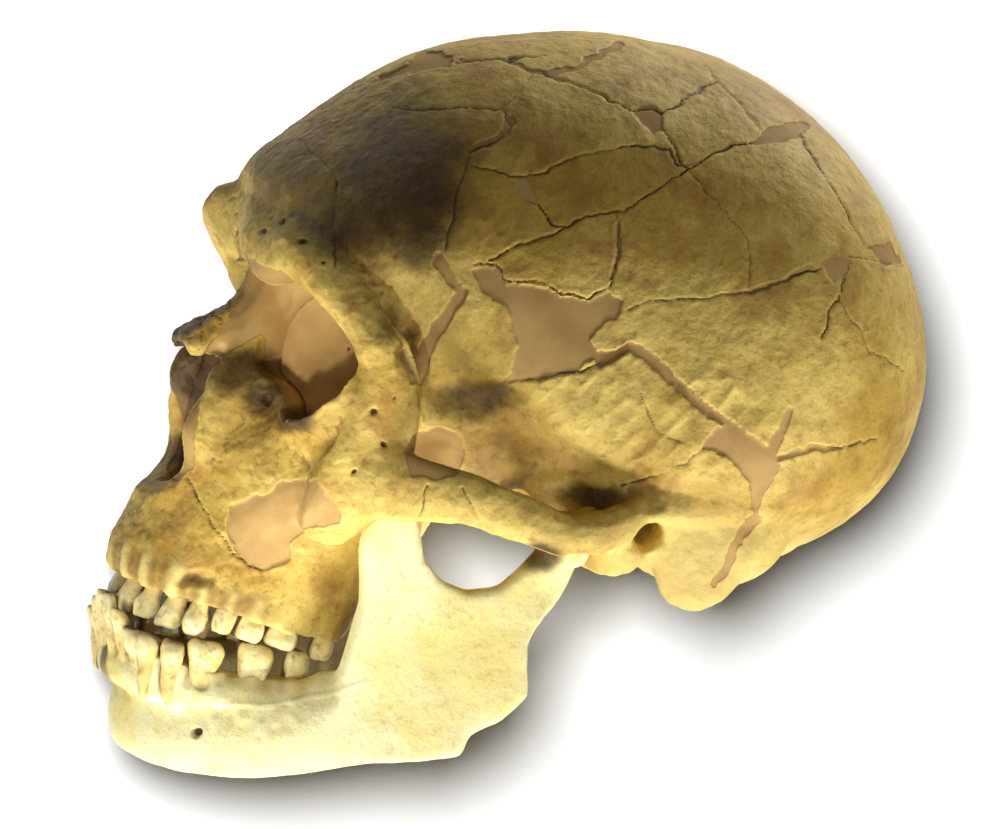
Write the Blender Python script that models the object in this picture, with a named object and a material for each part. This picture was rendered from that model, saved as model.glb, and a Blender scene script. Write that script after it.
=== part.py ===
# A life-size fossil Neanderthal skull with its lower jaw, lying on its right side.
#
# Each bone is modelled upright in the skull's own frame, in millimetres, and an empty then
# lays the whole skull down. Skull frame: +X to the back of the head, +Y to the skull's right,
# +Z up from the ear-eye plane, with the origin midway between the two ear openings.

import math

import bmesh
import bpy
import numpy as np
from mathutils import Euler, Matrix, Vector

MM = 0.001

# Landmarks on the midline (x, z) and on one side (x, y, z)
GLABELLA = (-117.5, 45.0)
NASION = (-107.5, 29.0)
RHINION = (-122.5, 8.5)
PROSTHION = (-122.5, -55.0)
BREGMA = (-34.0, 120.0)
LAMBDA = (76.0, 82.0)
GNATHION = (-90.0, -104.5)
ORBITALE = (-88.0, 38.0, 0.0)
BROW_END = (-86.0, 60.5, 27.0)
ZYGION = (-42.0, 76.0, -7.0)
CONDYLE = (-18.5, 61.0, -12.5)
ASTERION = (47.0, 58.0, 14.0)
PTERION = (-60.0, 58.0, 44.0)

# Openings
ORBIT_WIDTH = 43.0
ORBIT_HEIGHT = 37.0
ORBIT_DEPTH = 43.0
NOSE_WIDTH = 33.0
EAR_HOLE = 9.0

# How finely the bone is fused, how much it is smoothed, and how many triangles it keeps
FUSE_VOXEL = 1.5
CARVE_VOXEL = 1.2
CRANIUM_TRIANGLES = 6000
JAW_TRIANGLES = 2000

# How far from the midline each temporal bone begins
PETROUS = 27.0

SUTURE_GAP = 0.35
JOINT_GAP = 0.4

# The braincase, cut across at x: top, bottom, half width, height of the widest level,
# and how square its lower half is
BRAINCASE = (
    (-111.5, 58.5, 48.0, 14.0, 51.0, 2.2),
    (-109.0, 63.5, 42.0, 25.0, 51.0, 2.2),
    (-104.5, 69.5, 36.0, 36.0, 51.0, 2.2),
    (-97.0, 77.5, 28.0, 45.0, 50.0, 2.2),
    (-88.0, 88.5, 21.0, 51.0, 50.0, 2.2),
    (-76.0, 101.0, 14.0, 55.5, 49.0, 2.3),
    (-62.0, 109.5, 8.0, 61.0, 47.0, 2.4),
    (-46.0, 115.5, 3.0, 66.5, 45.0, 2.6),
    (-29.0, 120.5, 0.0, 71.0, 43.0, 2.9),
    (-10.0, 122.6, -3.0, 75.0, 41.0, 3.1),
    (10.0, 122.6, -8.0, 78.5, 42.0, 3.0),
    (28.0, 118.2, -12.0, 79.3, 44.0, 2.7),
    (45.0, 109.5, -9.5, 75.0, 45.0, 2.4),
    (59.0, 98.5, -3.5, 66.5, 44.0, 2.3),
    (70.0, 86.0, 4.0, 54.5, 43.0, 2.2),
    (78.0, 74.5, 13.0, 42.0, 43.0, 2.2),
    (83.0, 63.5, 22.0, 29.0, 43.0, 2.2),
    (85.5, 54.0, 32.0, 15.0, 43.0, 2.2),
)

# The upper jaw, cut across at z: front, where its sides turn back, back, half width
UPPER_JAW = (
    (2.0, -101.0, -76.0, -60.0, 38.0),
    (-8.0, -106.0, -76.0, -58.0, 42.0),
    (-18.0, -111.5, -78.0, -56.0, 43.0),
    (-28.0, -116.0, -80.0, -55.0, 40.0),
    (-38.0, -119.5, -84.0, -55.0, 36.5),
    (-48.0, -121.5, -86.0, -56.0, 35.5),
    (-55.0, -120.5, -86.0, -57.0, 35.0),
    (-59.5, -115.0, -86.0, -60.0, 34.0),
)

# Teeth, from the middle outwards: x, distance from the midline, height of the worn edge,
# half width along the arch, half depth across it
UPPER_TEETH = (
    (-114.4, 4.4, -66.3, 4.1, 2.9),
    (-111.8, 11.9, -65.8, 3.6, 2.9),
    (-108.0, 19.0, -66.6, 4.0, 4.0),
    (-102.5, 24.2, -66.0, 3.6, 4.6),
    (-96.2, 27.3, -63.6, 3.6, 4.8),
    (-88.6, 29.4, -63.2, 4.4, 5.4),
    (-79.4, 30.4, -62.6, 4.6, 5.6),
    (-66.2, 30.4, -64.6, 3.9, 5.0),
)
LOWER_TEETH = (
    (-120.6, 3.3, -62.8, 2.9, 2.5),
    (-118.9, 9.7, -64.6, 3.0, 2.5),
    (-115.4, 16.2, -67.6, 3.6, 3.4),
    (-110.2, 21.4, -68.4, 3.6, 4.0),
    (-104.2, 25.0, -67.8, 3.6, 4.3),
    (-95.6, 27.6, -66.9, 4.8, 5.2),
    (-84.6, 29.4, -65.0, 5.0, 5.2),
    (-73.2, 30.8, -63.8, 3.5, 4.8),
)

# The direction in the skull frame that points to the floor when the skull rests on its
# right side, on the vault and the cheek arch
REST_DOWN = (-0.184, 0.970, 0.158)

SIDES = {"left": -1, "right": 1}

BONE = (0.62, 0.50, 0.24)
JAW = (0.80, 0.70, 0.42)


def clear_scene():
    for old in list(bpy.data.objects):
        bpy.data.objects.remove(old)


def material(name, colour, roughness):
    made = bpy.data.materials.new(name)
    made.use_nodes = True
    shader = made.node_tree.nodes["Principled BSDF"]
    shader.inputs["Base Color"].default_value = (*colour, 1.0)
    shader.inputs["Roughness"].default_value = roughness
    shader.inputs["Metallic"].default_value = 0.0
    return made


def object_from(bm, name):
    """The bmesh as an object, in metres, its faces pointing out."""
    bmesh.ops.recalc_face_normals(bm, faces=bm.faces)
    bmesh.ops.scale(bm, verts=bm.verts, vec=(MM, MM, MM))
    mesh = bpy.data.meshes.new(name)
    bm.to_mesh(mesh)
    bm.free()
    made = bpy.data.objects.new(name, mesh)
    bpy.context.scene.collection.objects.link(made)
    return made


def apply_modifiers(body):
    graph = bpy.context.evaluated_depsgraph_get()
    graph.update()
    mesh = bpy.data.meshes.new_from_object(body.evaluated_get(graph))
    body.modifiers.clear()
    body.data = mesh
    return body


def smooth_rows(rows, steps):
    """Rows of numbers, with a smooth curve through them read at more places."""
    rows = np.array(rows, float)
    ends = np.vstack([2 * rows[0] - rows[1], rows, 2 * rows[-1] - rows[-2]])
    made = []
    for a, b, c, d in zip(ends, ends[1:], ends[2:], ends[3:]):
        for t in np.arange(steps) / steps:
            made.append(
                0.5 * (2 * b + (c - a) * t + (2 * a - 5 * b + 4 * c - d) * t**2
                       + (3 * b - a - 3 * c + d) * t**3)
            )
    made.append(rows[-1])
    return np.array(made)


def loft(rings, name="loft"):
    """A closed solid through rings of the same number of points."""
    bm = bmesh.new()
    loops = [[bm.verts.new(point) for point in ring] for ring in rings]
    for low, high in zip(loops, loops[1:]):
        for i in range(len(low)):
            j = (i + 1) % len(low)
            bm.faces.new((low[i], low[j], high[j], high[i]))
    bm.faces.new(loops[0])
    bm.faces.new(reversed(loops[-1]))
    return object_from(bm, name)


def ball(centre, radii, turn=(0, 0, 0), detail=4):
    bm = bmesh.new()
    bmesh.ops.create_icosphere(bm, subdivisions=detail, radius=1.0)
    place = Matrix.Translation(centre) @ Euler(map(math.radians, turn)).to_matrix().to_4x4()
    bmesh.ops.transform(bm, matrix=place @ Matrix.Diagonal((*radii, 1.0)), verts=bm.verts)
    return object_from(bm, "ball")


def limb(stations, across, steps=4, sides=16):
    """A rounded bar. Each station is x, y, z, its half width along across and its other half width."""
    rows = smooth_rows(stations, steps)
    across = Vector(across)
    rings = []
    for i, (x, y, z, wide, tall) in enumerate(rows):
        before, after = rows[max(i - 1, 0)], rows[min(i + 1, len(rows) - 1)]
        along = Vector(after[:3] - before[:3]).normalized()
        side = (across - across.dot(along) * along).normalized()
        top = along.cross(side)
        turns = [2 * math.pi * k / sides for k in range(sides)]
        rings.append([
            Vector((x, y, z)) + side * wide * math.cos(t) + top * tall * math.sin(t) for t in turns
        ])
    return loft(rings, "limb")


def plate(outline, reach, thick):
    """A flat plate. Its outline is x, z, and reach gives y at a point."""
    bm = bmesh.new()
    rim = [bm.verts.new((x, reach(x, z) - thick / 2, z)) for x, z in outline]
    face = bm.faces.new(rim)
    grown = bmesh.ops.extrude_face_region(bm, geom=[face])["geom"]
    moved = [v for v in grown if isinstance(v, bmesh.types.BMVert)]
    bmesh.ops.translate(bm, verts=moved, vec=(0, thick, 0))
    return object_from(bm, "plate")


def join(pieces, name):
    """One object that holds all the pieces, which may overlap."""
    bm = bmesh.new()
    for piece in pieces:
        bm.from_mesh(piece.data)
        bpy.data.objects.remove(piece)
    mesh = bpy.data.meshes.new(name)
    bm.to_mesh(mesh)
    bm.free()
    made = bpy.data.objects.new(name, mesh)
    bpy.context.scene.collection.objects.link(made)
    return made


def fuse(pieces, name, voxel, smoothing):
    """The pieces grown together, with every junction rounded."""
    body = join(pieces, name)
    remesh = body.modifiers.new("fuse", "REMESH")
    remesh.mode = "VOXEL"
    remesh.voxel_size = voxel * MM
    soften = body.modifiers.new("soften", "SMOOTH")
    soften.factor = 0.5
    soften.iterations = smoothing
    return apply_modifiers(body)


def combine(body, others, operation):
    """One Boolean with all the others, which are then removed."""
    group = bpy.data.collections.new("operands")
    for other in others:
        group.objects.link(other)
    change = body.modifiers.new(operation.lower(), "BOOLEAN")
    change.operation = operation
    change.operand_type = "COLLECTION"
    change.collection = group
    change.solver = "MANIFOLD"
    apply_modifiers(body)
    for other in others:
        bpy.data.objects.remove(other)
    bpy.data.collections.remove(group)
    return body


def keep_triangles(body, count):
    """Fewer triangles, fewest where the bone is smoothest."""
    body.data.calc_loop_triangles()
    thin = body.modifiers.new("thin", "DECIMATE")
    thin.ratio = count / len(body.data.loop_triangles)
    return apply_modifiers(body)


def connected(bm):
    """The vertices of a mesh as one set for each closed surface, largest first."""
    left, found = set(bm.verts), []
    while left:
        island, front = set(), [left.pop()]
        while front:
            vert = front.pop()
            island.add(vert)
            near = {edge.other_vert(vert) for edge in vert.link_edges} & left
            left -= near
            front.extend(near)
        found.append(island)
    return sorted(found, key=len, reverse=True)


def keep_largest(body):
    """Only the largest closed surface, so that no hollow or scrap is left."""
    bm = bmesh.new()
    bm.from_mesh(body.data)
    scraps = [vert for island in connected(bm)[1:] for vert in island]
    bmesh.ops.delete(bm, geom=scraps, context="VERTS")
    bm.to_mesh(body.data)
    bm.free()
    return body


def both_sides(make):
    """What make(side) returns for the left and the right, in one list."""
    return [piece for side in SIDES.values() for piece in make(side)]


def mirrored(stations, side):
    return [(x, y * side, z, *sizes) for x, y, z, *sizes in stations]


def braincase():
    rings = []
    for x, top, bottom, wide, level, square in smooth_rows(BRAINCASE, 3):
        ring = []
        for k in range(56):
            c, s = math.cos(2 * math.pi * k / 56), math.sin(2 * math.pi * k / 56)
            power = 2 / (2.08 if s > 0 else square)
            rise = top - level if s > 0 else level - bottom
            ring.append((
                x,
                wide * math.copysign(abs(c) ** power, c),
                level + rise * math.copysign(abs(s) ** power, s),
            ))
        rings.append(ring)
    return loft(rings, "braincase")


def upper_jaw():
    """Rounded across the front and squarer behind, like the arch of teeth below it."""
    rings = []
    for z, front, turn, back, wide in smooth_rows(UPPER_JAW, 2):
        ring = []
        for k in range(48):
            c, s = math.cos(2 * math.pi * k / 48), math.sin(2 * math.pi * k / 48)
            reach = back - turn if c > 0 else turn - front
            power = 0.5 if c > 0 else 0.95
            ring.append((
                turn + reach * math.copysign(abs(c) ** power, c),
                wide * math.copysign(abs(s) ** power, s),
                z,
            ))
        rings.append(ring)
    return loft(rings, "upper_jaw")


def skull_base():
    """The underside between the ears, from the back of the palate to the neck."""
    return [
        ball((-93, 0, 12), (18, 17, 24)),
        ball((-72, 0, 6), (24, 24, 22)),
        ball((-34, 0, 2), (34, 27, 15)),
        ball((6, 0, -6), (38, 34, 12)),
        ball((36, 0, -1), (32, 38, 9)),
    ]


def deep_side(side):
    """The parts under the thin edges: eye socket walls, ear region and cheek."""
    return [
        ball((-77, 32 * side, 15), (33, 25, 22), (0, 0, -20 * side)),
        ball((-46, 36 * side, 12), (26, 21, 20)),
        ball((2, 48 * side, 4), (31, 19, 18)),
        ball((25, 52 * side, 3), (22, 16, 18)),
        ball((-80, 50 * side, -12), (11, 9, 15), (0, 0, 20 * side)),
    ]


def brow(side):
    gx, gz = GLABELLA
    bx, by, bz = BROW_END
    return limb(mirrored([
        (gx + 10, 0, gz + 1, 7.5, 9.5),
        (gx + 9.5, 12, gz - 0.5, 7.5, 9.0),
        (gx + 11.0, 25, gz + 0.5, 7.6, 8.2),
        (gx + 13.5, 38, gz - 0.5, 7.4, 7.6),
        (gx + 21.0, 49.5, gz - 6.5, 6.8, 6.8),
        (bx - 2, by - 4.0, bz + 4, 6.4, 6.2),
        (bx + 1, by - 1.5, bz - 2, 6.2, 5.6),
    ], side), across=(1, 0, 0))


def cheekbone(side):
    """The upright behind the eye socket, the cheek and the lower border of the cheek."""
    bx, by, bz = BROW_END
    return limb(mirrored([
        (bx + 2, by - 2.0, bz + 3, 6.2, 5.6),
        (-79.5, by - 2, 19, 8.6, 5.0),
        (-77.5, by - 2.5, 9, 10.0, 5.0),
        (-77.5, 57.0, -1, 11.5, 5.6),
        (-79.0, 54.0, -11, 12.0, 6.6),
        (-81.0, 49.5, -20, 10.5, 6.6),
        (-82.5, 44.5, -27, 7.5, 5.5),
    ], side), across=(1, 0, 0))


def orbit_floor_rim(side):
    ox, oy, oz = ORBITALE
    return limb(mirrored([
        (-78, 57, 1, 4.6, 5.0),
        (-83, 50, oz - 4.5, 4.4, 4.6),
        (ox - 1, oy, oz - 4.4, 4.0, 4.4),
        (-95, 28, oz - 1.5, 3.6, 4.2),
        (-100, 19, 6, 3.2, 4.4),
        (-101, 13.0, 16, 3.4, 4.8),
        (-101.5, 10, 27, 3.6, 5.0),
    ], side), across=(0, 0, 1))


def nose_side(side):
    nx, nz = NASION
    return limb(mirrored([
        (nx + 9, 8, nz + 3, 6.5, 5.0),
        (-102.5, 10.5, 18, 7.0, 4.4),
        (-104.5, 14.0, 5, 7.0, 4.6),
        (-105.5, 17.8, -8, 6.6, 4.6),
        (-108.0, 17.8, -20, 6.0, 4.6),
        (-112.5, 12.0, -31, 5.2, 5.0),
        (-114.5, 4.0, -35, 5.0, 4.6),
    ], side), across=(1, 0, 0))


def nasal_bridge():
    nx, nz = NASION
    rx, rz = RHINION
    return limb([
        (nx + 6.5, 0, nz + 6, 8.0, 6.5),
        (nx + 4.5, 0, nz - 3, 8.4, 5.6),
        (-109.5, 0, 18.0, 9.8, 5.2),
        (-115.5, 0, 12.0, 10.6, 4.6),
        (rx + 2.5, 0, rz + 0.5, 10.4, 3.4),
    ], across=(0, 1, 0))


def cheek_arch(side):
    zx, zy, zz = ZYGION
    return limb(mirrored([
        (-80, 56.5, -8.0, 6.0, 13.0),
        (-71, 62.0, -8.0, 5.2, 10.5),
        (-61, 68.0, -6.5, 4.4, 8.4),
        (-51, zy - 4.0, -5.8, 4.0, 7.2),
        (zx, zy - 3.8, zz, 4.0, 6.8),
        (-33, zy - 4.0, -7.8, 4.4, 6.4),
        (-23, 70.5, -9.0, 5.6, 6.2),
        (-12, 68.0, -5.0, 7.0, 6.6),
        (2, 65.0, 3.5, 6.4, 5.4),
        (18, 65.5, 8.0, 6.4, 5.2),
        (36, 67.0, 14.0, 5.4, 4.8),
    ], side), across=(0, 1, 0), steps=3)


def ear_region(side):
    """Joint tubercle, the bone round the ear hole, and the mastoid process."""
    return [
        ball((-26, 66 * side, -10), (6, 8, 5)),
        ball((-3, 54 * side, -9.5), (10, 12, 9)),
        limb(mirrored([
            (20, 60.0, 6, 17.0, 8.0),
            (21, 59.0, -5, 14.5, 7.4),
            (22, 57.5, -13, 12.5, 6.6),
            (22, 56.5, -18.5, 9.0, 5.2),
            (22, 56.0, -22, 4.6, 3.0),
        ], side), across=(1, 0, 0)),
        limb(mirrored([
            (34, 44, -11, 9.0, 4.0),
            (20, 40, -13, 9.0, 4.6),
            (8, 38, -10, 8.0, 4.0),
        ], side), across=(0, 1, 0)),
        ball((11, 14 * side, -17), (10, 6, 6), (0, 0, 25 * side)),
    ]


def pterygoid(side):
    return limb(mirrored([
        (-50, 18, 2, 8.0, 4.0),
        (-51, 19, -12, 7.0, 3.0),
        (-51, 20, -26, 6.5, 2.6),
        (-52, 21, -40, 5.0, 2.6),
    ], side), across=(1, 0, 0))


def neck_crest():
    return limb([
        (57, -47, 22, 4.0, 4.0),
        (71.5, -32, 24, 4.0, 4.2),
        (79.5, -14, 28, 4.0, 4.6),
        (81, 0, 28, 4.0, 4.6),
        (79.5, 14, 28, 4.0, 4.6),
        (71.5, 32, 24, 4.0, 4.2),
        (57, 47, 22, 4.0, 4.0),
    ], across=(0, 0, 1))


def orbit_cutter(side):
    """The eye socket: widest at its rim, and narrowing back towards the midline."""
    return [
        ball((-93.5, 34.5 * side, 18.5), (ORBIT_DEPTH, ORBIT_WIDTH / 2, ORBIT_HEIGHT / 2),
             (0, -4, -20 * side)),
    ]


def nose_cutter():
    return [
        ball((-112, 0, -15), (30, NOSE_WIDTH / 2, 14)),
        ball((-116, 0, -3), (24, NOSE_WIDTH / 2 - 5, 14)),
    ]


def ear_cutter(side):
    half = EAR_HOLE / 2
    return limb(mirrored([
        (3, 84, -6, half + 3, half + 3),
        (3, 69, -5, half + 1.5, half + 1.5),
        (3.5, 62, -4, half, half + 0.5),
        (5, 46, -2, half - 1.5, half - 1),
    ], side), across=(1, 0, 0), steps=2)


def palate_cutters():
    return [
        ball((-78, 0, -61), (33, 21, 21)),
        ball((-50, 0, -22), (13, 13, 13)),
    ]


def neck_opening_cutter():
    return ball((29, 0, -24), (19, 15, 15))


def cranium():
    """The whole skull above the jaw, as one closed surface."""
    deep = [braincase(), upper_jaw(), *skull_base(), *both_sides(deep_side)]
    body = fuse(deep, "cranium", FUSE_VOXEL, 9)
    edges = both_sides(lambda side: [
        brow(side), cheekbone(side), orbit_floor_rim(side), nose_side(side),
        cheek_arch(side), *ear_region(side), pterygoid(side),
    ])
    body = fuse([body, *edges, nasal_bridge(), neck_crest()], "cranium", CARVE_VOXEL, 5)
    cutters = both_sides(lambda side: [*orbit_cutter(side), ear_cutter(side)])
    for cutter in [*cutters, *nose_cutter(), *palate_cutters(), neck_opening_cutter()]:
        combine(body, [cutter], "DIFFERENCE")
    body = fuse([body], "cranium", CARVE_VOXEL, 3)
    return keep_triangles(keep_largest(body), CRANIUM_TRIANGLES)


def grown(body, gap):
    """A copy of the body, larger by the gap all round."""
    copy = bpy.data.objects.new("grown", body.data.copy())
    bpy.context.scene.collection.objects.link(copy)
    swell = copy.modifiers.new("swell", "DISPLACE")
    swell.strength = gap * MM
    swell.mid_level = 0.0
    return apply_modifiers(copy)


def sheet(line, low_y, high_y):
    """A thin upright cutter along a line of x, z points, between two values of y."""
    half = SUTURE_GAP / 2
    bm = bmesh.new()
    points = [Vector((x, 0, z)) for x, z in line]
    upper, lower = [], []
    for i, point in enumerate(points):
        along = (points[min(i + 1, len(points) - 1)] - points[max(i - 1, 0)]).normalized()
        across = Vector((-along.z, 0, along.x)) * half
        upper.append(point + across)
        lower.append(point - across)
    rim = [bm.verts.new((p.x, low_y, p.z)) for p in [*upper, *reversed(lower)]]
    face = bm.faces.new(rim)
    grown = bmesh.ops.extrude_face_region(bm, geom=[face])["geom"]
    moved = [v for v in grown if isinstance(v, bmesh.types.BMVert)]
    bmesh.ops.translate(bm, verts=moved, vec=(0, high_y - low_y, 0))
    bmesh.ops.triangulate(bm, faces=bm.faces)
    return object_from(bm, "suture")


def plan_sheet(line, low_z, high_z):
    """A thin cutter along a line of x, y points, between two heights."""
    made = sheet(line, low_z, high_z)
    made.data.transform(Matrix(((1, 0, 0, 0), (0, 0, 1, 0), (0, 1, 0, 0), (0, 0, 0, 1))))
    made.data.flip_normals()
    return made


def suture_cutters():
    """Thin cuts along the sutures, drawn as in a view from the side."""
    far = 95
    pterion = PTERION[0], PTERION[2]
    asterion = ASTERION[0], ASTERION[2]
    face_top = NASION[1] - 2
    nose_back = NASION[0] + 8
    coronal = [(BREGMA[0] + 3, 140), BREGMA, (-46, 84), pterion]
    squamous = [pterion, (-46, 60), (-24, 65), (2, 58), (26, 38), asterion]
    lambdoid = [(104, 97), LAMBDA, asterion]
    sphenoid_back = [pterion, (-47, 25), (-38, 5), (-33, -60)]
    vault = coronal + squamous[1:] + lambdoid[-2::-1]
    temple = squamous + [(41, -60)] + sphenoid_back[:0:-1]
    cuts = [
        sheet(coronal, -far, far),
        sheet([pterion, (-66, face_top), (-140, face_top)], -far, far),
        sheet(squamous, -far, far),
        sheet(lambdoid, -far, far),
        plate(vault, lambda x, z: 0, SUTURE_GAP),
        sheet(sphenoid_back, -67, 67),
        sheet([(-66.5, face_top + 1), (-66.5, -6), (-56, -18), (-54, -75)], -53, 53),
        plan_sheet([(nose_back, 0), (-60, 0)], -5, face_top),
        plan_sheet([(-140, 0), (-53, 0)], -80, -4.9),
        sheet([(nose_back, -5), (nose_back, face_top)], -7.7, 7.7),
    ]
    for side in SIDES.values():
        cuts += [
            plan_sheet([(-140, 7.6 * side), (nose_back, 7.6 * side)], -5, face_top),
            plan_sheet([(-140, 33 * side), (-92, 38 * side), (-74, 50 * side),
                        (-65.5, 53 * side)], -80, face_top),
            plan_sheet([(-66.7, 52.5 * side), (-64, 54.5 * side), (-56, 64 * side),
                        (-43, 68 * side), (-42.6, far * side)], -80, PTERION[2]),
            sheet([asterion, (41, -60)], *sorted((PETROUS * side, far * side))),
            plate(temple, lambda x, z, y=PETROUS * side: y, SUTURE_GAP),
        ]
    return cuts


# A point well inside each bone tells its name
BONES = {
    "frontal": (-90, 0, 70),
    "parietal_left": (20, -30, 95),
    "parietal_right": (20, 30, 95),
    "occipital": (70, 0, 30),
    "temporal_left": (0, -50, 20),
    "temporal_right": (0, 50, 20),
    "sphenoid": (-52, 0, 12),
    "zygomatic_left": (-79, -57, -8),
    "zygomatic_right": (-79, 57, -8),
    "maxilla_left": (-90, -22, -34),
    "maxilla_right": (-90, 22, -34),
    "nasal_bones": (-108, 0, 21),
}


def islands(body):
    """The separate closed bodies of a mesh, largest first, each as an object."""
    bm = bmesh.new()
    bm.from_mesh(body.data)
    found = [{vert.index for vert in island} for island in connected(bm)]
    bm.free()
    made = []
    for island in found:
        part = bmesh.new()
        part.from_mesh(body.data)
        outside = [vert for vert in part.verts if vert.index not in island]
        bmesh.ops.delete(part, geom=outside, context="VERTS")
        mesh = bpy.data.meshes.new("island")
        part.to_mesh(mesh)
        part.free()
        piece = bpy.data.objects.new("island", mesh)
        bpy.context.scene.collection.objects.link(piece)
        made.append(piece)
    bpy.data.objects.remove(body)
    return made


def holds(piece, point):
    """Whether a closed body has the point inside it, as most of three rays tell."""
    votes = 0
    for direction in (Vector((0.1, 0.2, 1)), Vector((1, 0.15, -0.1)), Vector((0.12, -1, 0.1))):
        start, crossings = Vector(point) * MM, 0
        hit, place, _, _ = piece.ray_cast(start, direction)
        while hit:
            crossings += 1
            start = place + direction * 1e-5
            hit, place, _, _ = piece.ray_cast(start, direction)
        votes += crossings % 2
    return votes > 1


def part_bones(body):
    """Cuts the skull along its sutures and names each bone."""
    for cutter in suture_cutters():
        combine(body, [cutter], "DIFFERENCE")
    bones = {}
    for piece in islands(body):
        for name, point in BONES.items():
            if name not in bones and holds(piece, point):
                piece.name = piece.data.name = name
                bones[name] = piece
                break
        else:
            bpy.data.objects.remove(piece)
    return bones


def tooth(x, out, edge, along, deep, side, root, lean):
    """One worn tooth: its biting edge at height edge, its root end at height root."""
    rise = root - edge
    neck = edge + 0.34 * rise
    y = out * side
    return limb([
        (x, y, edge, along * 0.78, deep * 0.78),
        (x, y, edge + 0.13 * rise, along, deep),
        (x + lean * 0.3, y, neck, along * 0.84, deep * 0.88),
        (x + lean, y, root, along * 0.4, deep * 0.45),
    ], across=tangent(x, out, side), steps=1, sides=8)


def tangent(x, out, side):
    """The direction along the dental arch: across the mouth in front, front to back behind."""
    turn = math.radians(min(out / 27.0, 1.0) * 80.0)
    return (math.sin(turn), math.cos(turn) * side, 0)


def upper_teeth(side):
    return [tooth(*row, side, -44.0, 4.0 if row[1] < 22 else 1.0) for row in UPPER_TEETH]


def lower_teeth(side):
    return [tooth(*row, side, -86.0, 9.0 if row[1] < 18 else 3.0) for row in LOWER_TEETH]


def ramus_reach(side):
    return lambda x, z: (46 + 0.22 * (x + 65) + 0.1 * (z + 45)) * side


def ramus(side):
    """The upright end of the jaw: coronoid, notch, neck and angle, as seen from the side."""
    outline = [
        (-63, -10), (-58, -16), (-53, -26.5), (-47, -31), (-39, -32), (-32, -29), (-27, -22),
        (-24, -15), (-14, -15), (-14.5, -26), (-17.5, -41), (-14.5, -55), (-20, -65),
        (-26.5, -70), (-27.5, -77), (-38, -81.5), (-52, -86), (-64, -80), (-65, -63),
        (-65.5, -43), (-70.5, -27), (-69.5, -16),
    ]
    return plate(outline, ramus_reach(side), 7.0)


def jaw_side(side):
    """The body of the jaw, the ridge the teeth stand in, the ramus and its condyle."""
    cx, cy, cz = CONDYLE
    gx, gz = GNATHION
    return [
        limb(mirrored([
            (gx - 12.0, -6, gz + 15.0, 14.5, 7.6),
            (gx - 12.0, 3, gz + 15.0, 14.5, 7.6),
            (gx - 9.0, 14, gz + 15.3, 14.6, 7.6),
            (gx - 2.0, 23, gz + 16.5, 14.8, 7.4),
            (gx + 9.0, 30, gz + 19.3, 14.6, 7.6),
            (gx + 21, 36.0, gz + 24.0, 14.2, 7.6),
            (gx + 34, 41.5, gz + 30.0, 13.6, 7.0),
            (gx + 47, 46, gz + 35, 13.0, 5.6),
        ], side), across=(0, 0, 1), sides=20),
        limb(mirrored([
            (-111.0, -5, -79.5, 6.5, 5.6),
            (-111.0, 3, -79.5, 6.5, 5.6),
            (-108.5, 13, -80, 6.5, 5.8),
            (-102.5, 20.5, -80, 6.5, 6.0),
            (-94.0, 26.0, -79, 6.5, 6.4),
            (-83.0, 29.5, -77, 6.5, 6.6),
            (-71.0, 32.0, -74.5, 6.5, 6.4),
            (-62.0, 36.0, -72, 6.5, 6.0),
        ], side), across=(0, 0, 1)),
        ramus(side),
        limb(mirrored([
            (cx + 1.5, cy - 9.5, cz - 2.5, 4.0, 3.8),
            (cx, cy - 6, cz - 0.8, 5.8, 5.2),
            (cx, cy, cz, 6.2, 5.6),
            (cx, cy + 6.5, cz - 0.4, 6.0, 5.4),
            (cx + 0.5, cy + 11, cz - 2, 4.0, 3.8),
        ], side), across=(1, 0, 0)),
        limb(mirrored([
            (cx, cy - 1, cz - 2, 5.4, 6.0),
            (cx - 1, cy - 5, cz - 14, 5.6, 4.8),
            (cx - 2, cy - 8, cz - 27, 6.0, 4.6),
        ], side), across=(1, 0, 0)),
    ]


def lower_jaw():
    body = fuse(both_sides(jaw_side), "mandible", CARVE_VOXEL, 4)
    return keep_triangles(keep_largest(body), JAW_TRIANGLES)


def lay_down(nodes):
    """Parents every bone to one empty that turns the skull into its resting pose."""
    up = -Vector(REST_DOWN).normalized()
    along = (Vector((1, 0, 0)) - up * up.x).normalized()
    turn = Matrix((along, up.cross(along), up))
    corners = np.array([(turn @ vert.co)[:] for node in nodes for vert in node.data.vertices])
    low, high = corners.min(axis=0), corners.max(axis=0)
    rest = bpy.data.objects.new("resting_pose", None)
    bpy.context.scene.collection.objects.link(rest)
    centre = (low + high) / 2
    rest.location = (-centre[0], -centre[1], -low[2])
    rest.rotation_euler = turn.to_euler()
    for node in nodes:
        node.parent = rest


def main():
    clear_scene()
    jaw = lower_jaw()
    skull = cranium()
    combine(skull, [grown(jaw, JOINT_GAP)], "DIFFERENCE")
    bones = part_bones(skull)
    bones["mandible"] = jaw
    for name, side in SIDES.items():
        upper = bones[f"maxilla_{name}"]
        combine(upper, upper_teeth(side), "UNION")
        keep_largest(upper)
    combine(bones["mandible"], both_sides(lower_teeth), "UNION")
    keep_largest(bones["mandible"])
    bone = material("fossil_bone", BONE, 0.6)
    pale = material("pale_bone", JAW, 0.6)
    for name, node in bones.items():
        node.name = node.data.name = name
        node.data.materials.append(pale if name == "mandible" else bone)
        node.data.shade_smooth()
        node.data.set_sharp_from_angle(angle=math.radians(50))
    lay_down(list(bones.values()))


main()
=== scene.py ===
import math

import bmesh
import bpy
import numpy as np
from mathutils import Matrix, Vector
from mathutils.bvhtree import BVHTree


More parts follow.
